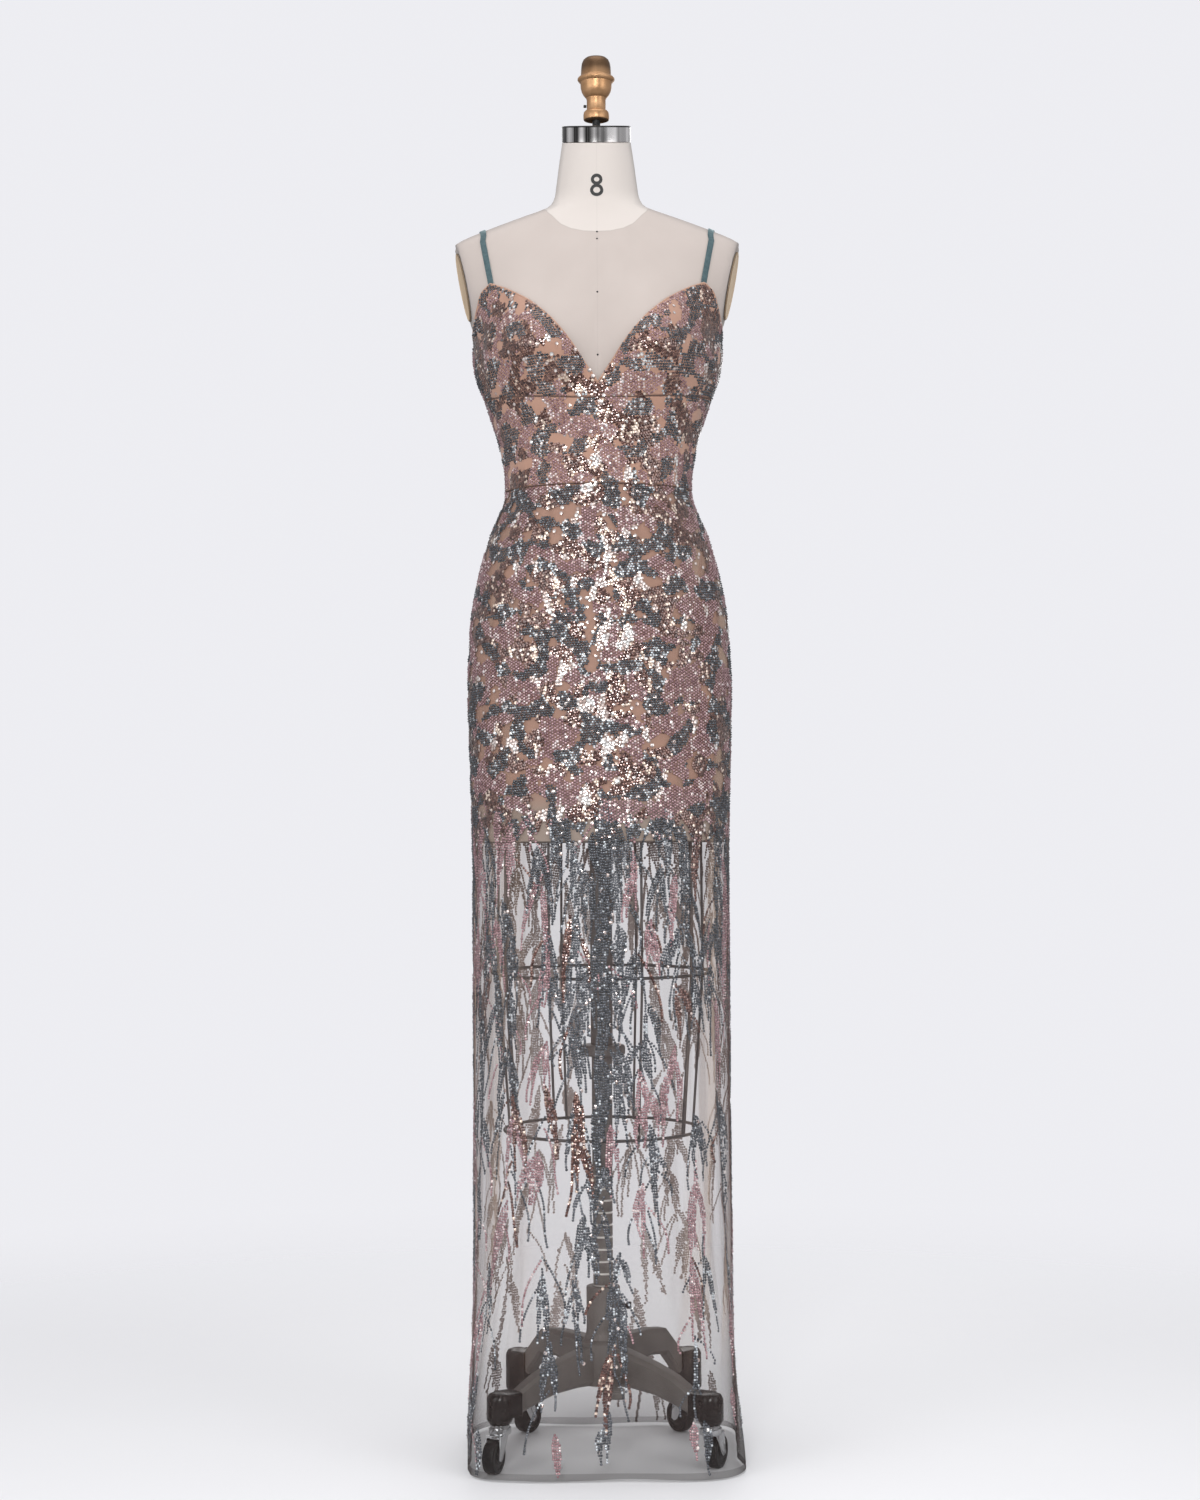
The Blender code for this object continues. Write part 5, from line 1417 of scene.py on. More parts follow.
def seam_shadow_line(name, angles, heights):
    """A dark line along a seam: its stitches, with the seam's shadow painted into them."""
    path = cloth_surface(angles, heights) - outward(cloth_surface, angles, heights) * SEAM_LINE_SUNK
    line = wire(name, [path], SEAM_LINE_RADIUS, 6, seam_shadow_thread)
    return line


round_front = np.linspace(-90, 90, 181)
round_waist = np.linspace(-179, 179, 359)
seam_shadow_line("underbust_seam", round_front, underbust(round_front))
seam_shadow_line("waist_seam", round_waist, waist(round_waist))
for label, side in (("left", -1), ("right", 1)):
    down = np.linspace(SIDE_SEAM_TOP, SIDE_SEAM_BOTTOM, SIDE_SEAM_POINTS)
    seam_shadow_line("side_seam_" + label, np.full(SIDE_SEAM_POINTS, side * 90.0), down)
print("seam lines: underbust, waist and both sides")

# %% [markdown]
# ## Softened solids
#
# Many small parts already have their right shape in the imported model, only with corners
# sharper than any real edge. A copy is merged, its flat faces are joined, and a Bevel
# modifier takes the corners off, which gives every edge a thin line of light.

# %% Softened copies of solids
FLAT_WITHIN, CORNER_FROM = 1.0, 28


def softened(node, body, finish, width, segments=2):
    """A merged copy of a solid with its corners taken off, in place of the solid."""
    form = bmesh.new()
    form.from_mesh(frame["nodes"][node].data)
    bmesh.ops.remove_doubles(form, verts=form.verts, dist=TOUCH)
    flat = math.radians(FLAT_WITHIN)
    bmesh.ops.dissolve_limit(form, angle_limit=flat, verts=form.verts, edges=form.edges)
    mesh = bpy.data.meshes.new(node + "_finish")
    form.to_mesh(mesh)
    form.free()
    mesh.materials.clear()
    mesh.materials.append(finish)
    mesh.shade_smooth()
    made = linked(mesh.name, mesh)
    rounding = made.modifiers.new("Corners", "BEVEL")
    rounding.width = width
    rounding.segments = segments
    rounding.limit_method = "ANGLE"
    rounding.angle_limit = math.radians(CORNER_FROM)
    rounding.harden_normals = True
    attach(made, body)
    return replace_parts(made, node)


for side in ("left", "right"):
    softened("strap_" + side, "form", velvet, 0.0004)
softened("zip_tape", "form", satin_binding, 0.0003)
print("straps and zip tape softened")

# %% [markdown]
# ## Metal, plastic and rubber finishes
#
# The stand is made to be wheeled about a workroom. The cap on the neck is brushed steel,
# the knob is old brass gone dark on top, the pole and the cage are painted dark grey,
# and the foot is a rough casting. The casters have gloss black hoods, bright forks and
# black wheels. A black part in a white studio shows mostly what it mirrors, so the hoods
# and the wheels get a lower specular level, and stay black.

# %% Hard finishes
BLACK_GLOSS = 0.35


def hard_finish(name, dark, light, metallic, roughness, scale, grain=None, depth=0.0003):
    """A mottled hard finish, with a grain group for its surface if it has one."""
    made, nodes, shader = new_finish(name, metallic=metallic)
    place = place_of(nodes)
    tone = mottle(nodes, place, scale, 2.0)
    two_tone(nodes, shader, tone, dark, light)
    join(nodes, ramp(nodes, tone, 0.0, 1.0, roughness), shader.inputs["Roughness"])
    if grain == "brushed":
        bump(nodes, shader, effect(nodes, brushed_group, {"Vector": place}), depth * 0.1, 0.35)
    elif grain == "cast":
        grains = effect(nodes, grain_group, {"Vector": place, "Scale": 420.0})
        bump(nodes, shader, grains, depth, 0.7)
    return made, nodes, shader


dark_steel, _, _ = hard_finish("Dark steel", (0.020, 0.020, 0.021), (0.06, 0.06, 0.06), 0.8,
                               (0.30, 0.5), 90.0)
cage_paint, _, _ = hard_finish("Dark cage paint", (0.075, 0.073, 0.074), (0.130, 0.127, 0.125),
                               0.3, (0.38, 0.55), 60.0)
pole_paint, _, _ = hard_finish("Dark pole paint", (0.125, 0.118, 0.114), (0.190, 0.180, 0.174),
                               0.3, (0.40, 0.6), 35.0)
cast_iron, _, _ = hard_finish("Painted casting", (0.105, 0.097, 0.090), (0.180, 0.168, 0.158),
                              0.35, (0.42, 0.7), 25.0, "cast")
chrome, _, _ = hard_finish("Bright fork", (0.50, 0.51, 0.52), (0.68, 0.69, 0.70), 1.0, (0.08, 0.2),
                           80.0)
gloss_black, _, shader = hard_finish("Gloss black hood", (0.003, 0.003, 0.003),
                                     (0.009, 0.009, 0.009), 0.0, (0.16, 0.30), 50.0)
shader.inputs["Specular IOR Level"].default_value = BLACK_GLOSS
wheel_rubber, _, shader = hard_finish("Wheel rubber", (0.005, 0.005, 0.005), (0.014, 0.013, 0.013),
                                      0.0, (0.28, 0.5), 120.0)
shader.inputs["Specular IOR Level"].default_value = BLACK_GLOSS
print("plain hard finishes: 7")

# %% [markdown]
# ## Steel cap, armhole board and old brass
#
# Three finishes need more than two tones. The cap gets upright streaks of painted
# reflection round it, as if it mirrored a striped room, and its slanting top rim is
# painted dark, a painted shade. The armhole board is darker along the outer part of its
# rim, which its mesh marks with a number called "edge". The knob is darker from the top
# down.

# %% Steel cap, armhole board and old brass
NECK_SLOPE = 0.27
# Painted shade: the dark band at the cap's slanting top rim
CAP_RIM_FROM, CAP_RIM_TO, CAP_RIM_SHADE = 1.7622, 1.7630, 0.03
BOARD_EDGE_TONE = (0.20, 0.14, 0.085)
# The knob is darker from the top down
DARK_TOP_FROM, DARK_TOP_TO, DARK_TOP_COVER = 1.8270, 1.8430, 0.82
DARK_TOP_TONE = (0.050, 0.028, 0.016)


def tint_over(nodes, shader, share, tint):
    """Lay a tint over the colour that a finish already has."""
    colour = shader.inputs["Base Color"].links[0].from_socket
    join(nodes, tinted(nodes, colour, share, tint), shader.inputs["Base Color"])


steel_with_painted_reflections, nodes, shader = hard_finish("Brushed steel", (0.42, 0.43, 0.44), (0.60, 0.61, 0.62),
                                           1.0, (0.22, 0.34), 30.0, "brushed")
round_neck = add(nodes, "ShaderNodeCombineXYZ",
                 {"X": axis_of(nodes, "X"), "Y": axis_of(nodes, "Y")})
# Painted reflection: upright light and dark streaks round the cap
painted_reflection_streaks = mottle(nodes, round_neck.outputs[0], 62.0, 5.0)
level = maths(nodes, "MULTIPLY_ADD", axis_of(nodes, "Y"), -NECK_SLOPE, axis_of(nodes, "Z"))
# Painted shade: a dark band at the cap's slanting top rim
painted_rim_band = ramp(nodes, level, CAP_RIM_FROM, CAP_RIM_TO, (1.0, CAP_RIM_SHADE))
painted_reflection_bands = maths(nodes, "MULTIPLY", painted_reflection_streaks, painted_rim_band)
two_tone(nodes, shader, painted_reflection_bands, (0.030, 0.029, 0.028), (0.93, 0.91, 0.90))

tan_board, nodes, shader = hard_finish("Tan armhole board", (0.56, 0.41, 0.26), (0.70, 0.54, 0.37),
                                       0.0, (0.5, 0.7), 40.0, "cast", 0.0001)
tint_over(nodes, shader, attribute(nodes, "edge"), BOARD_EDGE_TONE)

old_brass, nodes, shader = hard_finish("Old brass", (0.40, 0.215, 0.100), (0.60, 0.360, 0.195),
                                       0.8, (0.34, 0.50), 70.0)
# Darker towards the top of the knob
dark_top = ramp(nodes, axis_of(nodes, "Z"), DARK_TOP_FROM, DARK_TOP_TO, (0.0, DARK_TOP_COVER))
tint_over(nodes, shader, dark_top, DARK_TOP_TONE)
print("worked finishes:", steel_with_painted_reflections.name, tan_board.name, old_brass.name)

# %% [markdown]
# ## The linen form
#
# The form is a papier-mache shell covered in linen: one cover for the body and a paler
# one for the neck, joined in a seam that dips at the throat. It is made from the same
# body surface as the gown, a few millimetres inside it. The mesh carries the distance
# over the neck seam as an attribute, and the finish uses it for the two covers and for
# the fine line of the seam. The linen is also painted darker where it turns edge on to
# the view, a painted shade along its outline.

# %% Linen
NECK_TONE = (0.635, 0.582, 0.545)
NECK_STITCH, NECK_STITCH_SHADE = 0.0011, 0.86
FRONT_STITCH, FRONT_STITCH_SHADE = 0.0009, 0.94
# Painted shade: where and how much the linen darkens as it turns edge on
EDGE_SHADE_FROM, EDGE_SHADE = 0.55, 0.60

linen, nodes, shader = new_finish("Linen cover", roughness=0.88, sheen_weight=0.15)
uv, over_seam = place_of(nodes, "UV"), attribute(nodes, "over_seam")
tone = mottle(nodes, uv, 14.0, 0.9)
body_colour = two_tone(nodes, shader, tone, (0.465, 0.406, 0.374), (0.540, 0.476, 0.442))
on_neck = maths(nodes, "GREATER_THAN", over_seam, 0.0)
colour = tinted(nodes, body_colour, on_neck, NECK_TONE)
from_seam = maths(nodes, "ABSOLUTE", over_seam)
from_front = maths(nodes, "ABSOLUTE", axis_of(nodes, "X"))
neck_stitches = ramp(nodes, from_seam, 0.0, NECK_STITCH, (NECK_STITCH_SHADE, 1.0))
front_stitches = ramp(nodes, from_front, 0.0, FRONT_STITCH, (FRONT_STITCH_SHADE, 1.0))
stitches = maths(nodes, "MULTIPLY", neck_stitches, front_stitches)
# Painted shade: the linen darkens where it turns edge on to the view
facing = add(nodes, "ShaderNodeLayerWeight", {"Blend": 0.5}).outputs["Facing"]
painted_edge_shade = ramp(nodes, facing, EDGE_SHADE_FROM, 1.0, (1.0, EDGE_SHADE))
shade = maths(nodes, "MULTIPLY", stitches, painted_edge_shade)
join(nodes, scaled(nodes, colour, shade), shader.inputs["Base Color"])
threads = maths(nodes, "MULTIPLY", weave(nodes, uv, 1300.0), mottle(nodes, uv, 700.0, 1.5))
bump(nodes, shader, threads, 0.00025, 0.5)
print("linen ready")

# %% Torso and neck
FORM_INSET = 0.0037
BUST_EASE = 0.04
UNDER_GOWN, UNDER_GOWN_FROM, UNDER_GOWN_FADE = 0.0016, 0.006, 0.02
FORM_BOTTOM, FORM_TOP = 0.858, 1.742
NECK_SLOPE_FROM = 1.664
TORSO_COLUMNS, TORSO_ROWS = 144, 170
# The seam between the body's cover and the neck's: angle from the front, height
NECK_SEAM = (
    (0, 1.608), (15, 1.609), (28, 1.613), (38, 1.620), (49, 1.634),
    (60, 1.645), (75, 1.652), (90, 1.655), (180, 1.657),
)


def neck_seam(angle):
    """Height of the neck's seam at an angle."""
    return np.interp(np.abs(angle), *zip(*NECK_SEAM))


def sloped(points, start=NECK_SLOPE_FROM, end=FORM_TOP):
    """Points tipped with the cut of the neck, fully at one height and not at another."""
    points = np.array(points, float)
    share = np.clip((points[..., 2] - start) / (end - start), 0, 1)
    points[..., 2] += NECK_SLOPE * points[..., 1] * share
    return points


def closed_faces(columns, rows):
    """Faces of a grid that is closed round and at both ends."""
    faces = grid_faces(columns, rows, closed=True)
    faces.append([k * rows for k in range(columns)])
    faces.append([k * rows + rows - 1 for k in reversed(range(columns))])
    return faces


angles = (np.arange(TORSO_COLUMNS) * 360 / TORSO_COLUMNS)[:, None]
heights = np.linspace(FORM_TOP, FORM_BOTTOM, TORSO_ROWS)[None, :]
angles, heights = np.broadcast_arrays(angles, heights)
surface = body_surface(angles, heights)
tall = np.where(heights > BUST_HEIGHT, BUST_ABOVE, BUST_BELOW)
ease = BUST_EASE * bust_lift(surface[..., 0], heights, tall)
ease = np.where(np.cos(np.radians(angles)) > 0, ease, 0)
signed = (angles + 180) % 360 - 180
hidden = np.clip((top_edge(signed) - heights - UNDER_GOWN_FROM) / UNDER_GOWN_FADE, 0, 1)
inset = FORM_INSET + ease + UNDER_GOWN * hidden
points = surface - outward(body_surface, angles, heights) * inset[..., None]
points[:, 0, 2], points[:, -1, 2] = FORM_TOP, FORM_BOTTOM
points = sloped(points)
uv = np.stack((np.radians(signed) * NOMINAL_RADIUS, heights), -1)
torso = piece("torso_linen", points, closed_faces(TORSO_COLUMNS, TORSO_ROWS), linen, "form", uv,
              60.0)
carry(torso.data, "over_seam", "FLOAT", heights - neck_seam(signed))
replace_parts(torso, "torso")
print("torso faces", len(torso.data.polygons))

# %% [markdown]
# ## Turned parts
#
# The cap, the knob, the pole, the column and the wheels are all turned, so each is a
# profile swept round an axis. A list of radii and distances is exact, and easier to
# correct than a Spin in edit mode. A part with a hole closes its profile on itself, and
# the others are closed with a flat face at each end.

# %% A turned body
def turned(name, profile, body, finish, sides=64, centre=(0, 0, 0), axis=(0, 0, 1),
           flat_over=32.0, ring=False, slope=None):
    """A body of revolution from (radius, distance along the axis) rows, bottom first."""
    turns = np.arange(sides)[:, None] * math.tau / sides
    radii, levels = np.array(profile).T
    ring_points = np.stack((radii * np.cos(turns), radii * np.sin(turns), levels + 0 * turns), -1)
    aim = np.array(Vector((0, 0, 1)).rotation_difference(Vector(axis)).to_matrix())
    points = ring_points[:, ::-1] @ aim.T + np.array(centre)
    if slope:
        points = sloped(points, *slope)
    rows = len(profile)
    if ring:
        faces = grid_faces(sides, rows, closed=True)
        for k in range(sides):
            here, after = k * rows, (k + 1) % sides * rows
            faces.append((here + rows - 1, here, after, after + rows - 1))
    else:
        faces = closed_faces(sides, rows)
    return piece(name, points, faces, finish, body, flat_over=flat_over)


# %% [markdown]
# ## Neck cap and knob
#
# The neck is cut on a slant and capped in steel. The knob over it is one turned piece of
# brass with a small grub screw at its side. Its profile has every bead and hollow of the
# turning, because the light along those edges is what the eye knows it by.

# %% Cap and knob on the neck
CAP_RADIUS = 0.0463
CAP_BOTTOM, CAP_TOP = 1.7423, 1.7648
KNOB_PROFILE = (
    (0.0056, 1.7745), (0.0140, 1.7732), (0.0152, 1.7722), (0.0167, 1.7727), (0.0173, 1.7742),
    (0.0173, 1.7798), (0.0168, 1.7828), (0.0150, 1.7848), (0.0131, 1.7858), (0.0127, 1.7872),
    (0.0127, 1.8002), (0.0133, 1.8012), (0.0133, 1.8022), (0.0145, 1.8033), (0.0172, 1.8066),
    (0.0194, 1.8108), (0.0207, 1.8160), (0.0210, 1.8214), (0.0213, 1.8236), (0.0236, 1.8250),
    (0.0249, 1.8270), (0.0249, 1.8286), (0.0236, 1.8302), (0.0212, 1.8314), (0.0205, 1.8324),
    (0.0204, 1.8342), (0.0197, 1.8452), (0.0190, 1.8494), (0.0172, 1.8536), (0.0138, 1.8566),
    (0.0085, 1.8581),
)
STEM_PROFILE = ((0.0053, 1.7651), (0.0053, 1.7719))
SCREW_PROFILE = ((0.0019, 0.0131), (0.0019, 0.0148), (0.0020, 0.0152), (0.0020, 0.0166),
                 (0.0015, 0.0171))
SCREW_HEIGHT = 1.7915
cap_profile = (
    (CAP_RADIUS - 0.0008, CAP_BOTTOM), (CAP_RADIUS, CAP_BOTTOM + 0.0008),
    (CAP_RADIUS, CAP_TOP - 0.0012), (CAP_RADIUS - 0.0004, CAP_TOP - 0.0004),
    (CAP_RADIUS - 0.0012, CAP_TOP), (0.008, CAP_TOP),
)
neck_cap = turned("neck_cap_steel", cap_profile, "form", steel_with_painted_reflections, 128,
                  slope=(NECK_SLOPE_FROM, FORM_TOP))
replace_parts(neck_cap, "neck_cap")
# The stem stands upright, so only its foot follows the slant of the cap
stem = turned("finial_stem_steel", STEM_PROFILE, "form", dark_steel, 32, slope=(1.7719, 1.7651))
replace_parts(stem, "finial_stem")
finial = turned("finial_brass", KNOB_PROFILE, "form", old_brass, 72, flat_over=40)
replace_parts(finial, "finial")
screw = turned("finial_screw_steel", SCREW_PROFILE, "form", dark_steel, 20, (0, 0, SCREW_HEIGHT),
               (-1, 0, 0))
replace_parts(screw, "finial_screw")
print("knob rows", len(KNOB_PROFILE))

# %% [markdown]
# ## Armhole boards
#
# A form without arms is closed at each armhole with an oval board, set in the flat that
# the arm leaves and standing just out of the linen. Its rim is rounded, and the outer
# part of the rim carries the "edge" that the finish darkens.

# %% Armhole boards
BOARD_HEIGHT, BOARD_DEPTH, BOARD_LIFT = 1.546, -0.004, 0.0009
BOARD_HALF = (0.033, 0.046)
BOARD_SIDES = 72
# Distance in from the rim and lift of the board's face
BOARD_RIM = (
    (0.0, 0.0), (0.0, 0.0014), (0.0006, 0.0020), (0.0010, 0.0020),
    (0.0026, 0.0020), (0.0032, 0.0015), (0.0200, 0.0013),
)
BOARD_EDGE = 0.0008
flat_normal = Vector((1, -ARM_FLAT_TURN, -ARM_FLAT_LEAN)).normalized()
upward = (Vector((0, 0, 1)) - flat_normal * flat_normal.z).normalized()
forward = upward.cross(flat_normal)
over_flat = BOARD_HEIGHT - ARM_FLAT_HEIGHT
reach = ARM_FLAT_REACH + ARM_FLAT_TURN * BOARD_DEPTH + ARM_FLAT_LEAN * over_flat
middle = Vector((reach, BOARD_DEPTH, BOARD_HEIGHT)) - flat_normal * (FORM_INSET - BOARD_LIFT)
rim = tuple(reversed(BOARD_RIM))
for label, side in (("right", 1), ("left", -1)):
    points = []
    for k in range(BOARD_SIDES):
        turn = side * math.tau * k / BOARD_SIDES
        for inside, lift in rim:
            wide, tall = BOARD_HALF[0] - inside, BOARD_HALF[1] - inside
            point = middle + flat_normal * lift + forward * (wide * math.cos(turn))
            point = point + upward * (tall * math.sin(turn))
            points.append((point.x * side, point.y, point.z))
    faces = closed_faces(BOARD_SIDES, len(rim))
    board = piece("arm_plate_" + label + "_board", points, faces, tan_board, "form", flat_over=25)
    edge = [float(inside < BOARD_EDGE) for inside, _ in rim]
    carry(board.data, "edge", "FLOAT", edge * BOARD_SIDES)
    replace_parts(board, "arm_plate_" + label)
print("armhole boards placed")

# %% [markdown]
# ## Pins and the size number
#
# Four pins mark the centre front for the fitter, and the size is printed on the neck: a
# plain 8, two rings one on the other. The pins are small domes that stand on the linen.
# The number is a flat mesh laid on the neck's curve a quarter of a millimetre out, where
# an image would need a picture file and a map of its own.

# %% Pins and number
ink, nodes, shader = new_finish("Black ink", roughness=0.6)
tone = mottle(nodes, place_of(nodes), 400.0, 1.0)
two_tone(nodes, shader, tone, (0.012, 0.012, 0.012), (0.035, 0.034, 0.033))

PIN_HEIGHTS = (1.606, 1.5955, 1.5195, 1.4350)
PIN_PROFILE = ((0.0013, -0.0006), (0.0013, 0.0002), (0.0010, 0.0007), (0.0005, 0.0010))
# Middle of each ring, its outer half width and half height
NUMBER_RINGS = ((1.6655, 0.0093, 0.0085), (1.6800, 0.0083, 0.0076))
NUMBER_STROKE, NUMBER_LIFT, NUMBER_SIDES = 0.0045, 0.00025, 48
NECK_RADIUS = 0.0535


def on_form(angle, height, lift):
    """A point on the linen at a height over the floor."""
    unsloped = height
    for _ in range(4):
        inward = outward(body_surface, angle, unsloped) * (FORM_INSET - lift)
        point = sloped(body_surface(angle, unsloped) - inward)
        unsloped += height - point[2]
    return point


for number, height in enumerate(PIN_HEIGHTS):
    place, aim = on_form(0.0, height, 0.0), outward(body_surface, 0.0, height)
    head = turned("pin_%d" % (number + 1), PIN_PROFILE, "form", dark_steel, 12, place, aim)
points, faces = [], []
for centre, half_wide, half_tall in NUMBER_RINGS:
    first = len(points)
    for k in range(NUMBER_SIDES):
        turn = math.tau * k / NUMBER_SIDES
        for inside in (0.0, NUMBER_STROKE):
            across = (half_wide - inside) * math.cos(turn)
            up = (half_tall - inside) * math.sin(turn)
            points.append(on_form(math.degrees(across / NECK_RADIUS), centre + up, NUMBER_LIFT))
        here, after = first + 2 * k, first + 2 * ((k + 1) % NUMBER_SIDES)
        faces.append((here, after, after + 1, here + 1))
piece("size_number", points, faces, ink, "form")
print("pins", len(PIN_HEIGHTS), "number faces", len(faces))

# %% [markdown]
# ## Cage
#
# Under the body hangs a wire cage, two rings on eight uprights, that keeps a skirt in
# shape. The rings tip forward a little. Each is a closed path for the wire tree, and an
# upright is a path of three points that stands inside both rings.

# %% Cage
CAGE_TILT = 0.0244
RING_WIRE, RING_STEPS, WIRE_GAP = 0.0021, 120, 0.0006
WIRE_LEAN, WIRE_UNDER = 0.99, 0.0003
CAGE_RINGS = (("cage_ring_upper", 0.632, 0.144, 0.128), ("cage_ring_lower", 0.425, 0.129, 0.122))
CAGE_WIRES = (
    ("cage_wire_front_left", -29.0, 0.0017), ("cage_wire_front_right", 22.0, 0.0017),
    ("cage_wire_side_front_left", -64.0, 0.0026), ("cage_wire_side_front_right", 58.0, 0.0026),
    ("cage_wire_side_back_left", -100.0, 0.0017), ("cage_wire_side_back_right", 104.0, 0.0017),
    ("cage_wire_back_left", -157.0, 0.0017), ("cage_wire_back_right", 160.0, 0.0017),
)


def ring_point(angle, height, half_width, depth):
    """A point of a cage ring, which dips towards the front."""
    turn = math.radians(angle)
    y = -depth * math.cos(turn)
    return Vector((half_width * math.sin(turn), y, height + CAGE_TILT * y))


for node, height, half_width, depth in CAGE_RINGS:
    path = [ring_point(k * 360 / RING_STEPS, height, half_width, depth) for k in range(RING_STEPS)]
    ring = wire(node + "_wire", [path], RING_WIRE, 10, cage_paint, closed=True)
    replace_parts(ring, node)
for node, angle, radius in CAGE_WIRES:
    inner = RING_WIRE + radius + WIRE_GAP
    upper, lower = (ring_point(angle, height, half_width - inner, depth - inner)
                    for _, height, half_width, depth in CAGE_RINGS)
    lower.z -= RING_WIRE
    top = Vector((upper.x * WIRE_LEAN, upper.y * WIRE_LEAN, FORM_BOTTOM - WIRE_UNDER))
    upright = wire(node + "_wire", [[top, upper, lower]], radius, 10, cage_paint)
    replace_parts(upright, node)
print("cage: 2 rings and", len(CAGE_WIRES), "uprights")

# %% [markdown]
# ## Pole and post
#
# The pole drops through the middle of the cage, with a bevelled collar, to a grooved
# post that slides in the column of the foot. The grooves are cut in the post's profile,
# and the finish makes their floors pale, where the paint never reached.

# %% Pole, collar and post
GROOVE_TOP, GROOVE_PITCH, GROOVE_COUNT, GROOVE = 0.365, 0.016, 9, 0.0012
# How far down from its top each corner of a groove lies, and how deep it is cut there
GROOVE_CORNERS = ((0.0, 0.0), (0.0006, GROOVE), (0.0018, GROOVE), (0.0024, 0.0))
GROOVE_PALE, GROOVE_MARGIN = 0.16, 0.0005
GROOVE_TONE = (0.85, 0.83, 0.80)
POST_TOP, POST_BOTTOM, POST_RADIUS, POST_CORNER = 0.377, 0.095, 0.013, 0.0008
POLE_PROFILES = (
    ("pole_upper", "_tube", ((0.0145, 0.5368), (0.0145, 0.8577))),
    ("pole_collar", "_ring", ((0.0265, 0.5215), (0.0292, 0.5222), (0.0308, 0.5244),
                              (0.0310, 0.5268), (0.0310, 0.5316), (0.0305, 0.5340),
                              (0.0288, 0.5360), (0.0265, 0.5365))),
    ("pole_lower", "_tube", ((0.0135, 0.3773), (0.0135, 0.5212))),
)
for node, ending, profile in POLE_PROFILES:
    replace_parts(turned(node + ending, profile, "form", pole_paint), node)

post_steel, nodes, shader = hard_finish("Worn post steel", (0.15, 0.14, 0.13), (0.25, 0.235, 0.22),
                                        0.6, (0.35, 0.5), 60.0, "brushed")
height = axis_of(nodes, "Z")
along = maths(nodes, "MULTIPLY_ADD", height, -1 / GROOVE_PITCH, GROOVE_TOP / GROOVE_PITCH)
grooved = maths(nodes, "LESS_THAN", maths(nodes, "FRACT", along), GROOVE_PALE)
low_enough = maths(nodes, "LESS_THAN", height, GROOVE_TOP + GROOVE_MARGIN)
tint_over(nodes, shader, maths(nodes, "MULTIPLY", grooved, low_enough), GROOVE_TONE)

post_profile = [(POST_RADIUS - POST_CORNER, POST_TOP), (POST_RADIUS, POST_TOP - POST_CORNER)]
for k in range(GROOVE_COUNT):
    z = GROOVE_TOP - k * GROOVE_PITCH
    post_profile += [(POST_RADIUS - deep, z - down) for down, deep in GROOVE_CORNERS]
post_profile += [(POST_RADIUS, POST_BOTTOM)]
post = turned("pole_post_steel", post_profile[::-1], "form", post_steel, 48, flat_over=25)
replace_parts(post, "pole_post")
print("post grooves", GROOVE_COUNT)

# %% [markdown]
# ## Foot and casters
#
# The foot is one casting with a short column and four arms. Its solids already have the
# right shapes, so they are copied, merged and given rounded corners. The wheels are
# turned about their own axles, which the joints of the frame give, and ride on their own
# bodies, so they roll.

# %% Column, casting and pedal
COLUMN_PROFILE = (
    (0.0137, 0.1503), (0.0252, 0.1503), (0.0250, 0.1525), (0.0236, 0.1560), (0.0226, 0.1600),
    (0.0222, 0.1650), (0.0222, 0.2170), (0.0217, 0.2188), (0.0205, 0.2195), (0.0137, 0.2195),
)
CLAMP_PROFILE = (
    (0.0025, 0.0226), (0.0025, 0.0302), (0.0040, 0.0306),
    (0.0048, 0.0314), (0.0048, 0.0362), (0.0042, 0.0370),
)
CLAMP_HEIGHT = 0.193
column = turned("base_column_iron", COLUMN_PROFILE, "stand", cast_iron, 64, flat_over=40, ring=True)
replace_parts(column, "base_column")
knob = turned("column_knob_steel", CLAMP_PROFILE, "stand", dark_steel, 24, (0, 0, CLAMP_HEIGHT),
              (1, 0, 0))
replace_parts(knob, "column_knob")
softened("base_casting", "stand", cast_iron, 0.0016)
softened("pedal", "pedal", cast_iron, 0.0010)
print("column, casting and pedal placed")

# %% Casters
# Radius and distance along the axle of one half of the tread, then its mirror image
WHEEL_HALF = (
    (0.0034, 0.0078), (0.0080, 0.0080), (0.0088, 0.0074), (0.0150, 0.0070),
    (0.0160, 0.0079), (0.0192, 0.0080), (0.0208, 0.0072), (0.0215, 0.0056),
)
WHEEL_PROFILE = [(radius, -along) for radius, along in WHEEL_HALF] + list(reversed(WHEEL_HALF))
WHEELS = (("fl", "front_left"), ("fr", "front_right"), ("rl", "rear_left"), ("rr", "rear_right"))
joints = {joint["child"]: joint for joint in frame["joints"]}
for short, corner in WHEELS:
    body = "wheel_" + short
    axle, aim = joints[body]["pos_m"], joints[body]["axis"]
    wheel = turned("wheel_" + corner + "_rubber", WHEEL_PROFILE, body, wheel_rubber, 56, axle, aim,
                   35, ring=True)
    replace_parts(wheel, "wheel_" + corner)
    softened("hood_" + corner, "stand", gloss_black, 0.0016, 3)
    softened("fork_" + corner, "stand", chrome, 0.0005)
print("casters:", len(WHEELS))

# %% Zip slider and pull
softened("zip_slider", "form", steel_with_painted_reflections, 0.0004)
softened("zip_pull", "zip_tab", steel_with_painted_reflections, 0.0003)
print("zip slider and pull softened")

# %% [markdown]
# ## What each sheet was cut to
#
# A sheet of cloth keeps nearly the area it was cut to. Each piece of cloth is listed
# with the width and length of its cut and its area, since a cut isn't always a rectangle,
# and the area that was made is printed beside it.

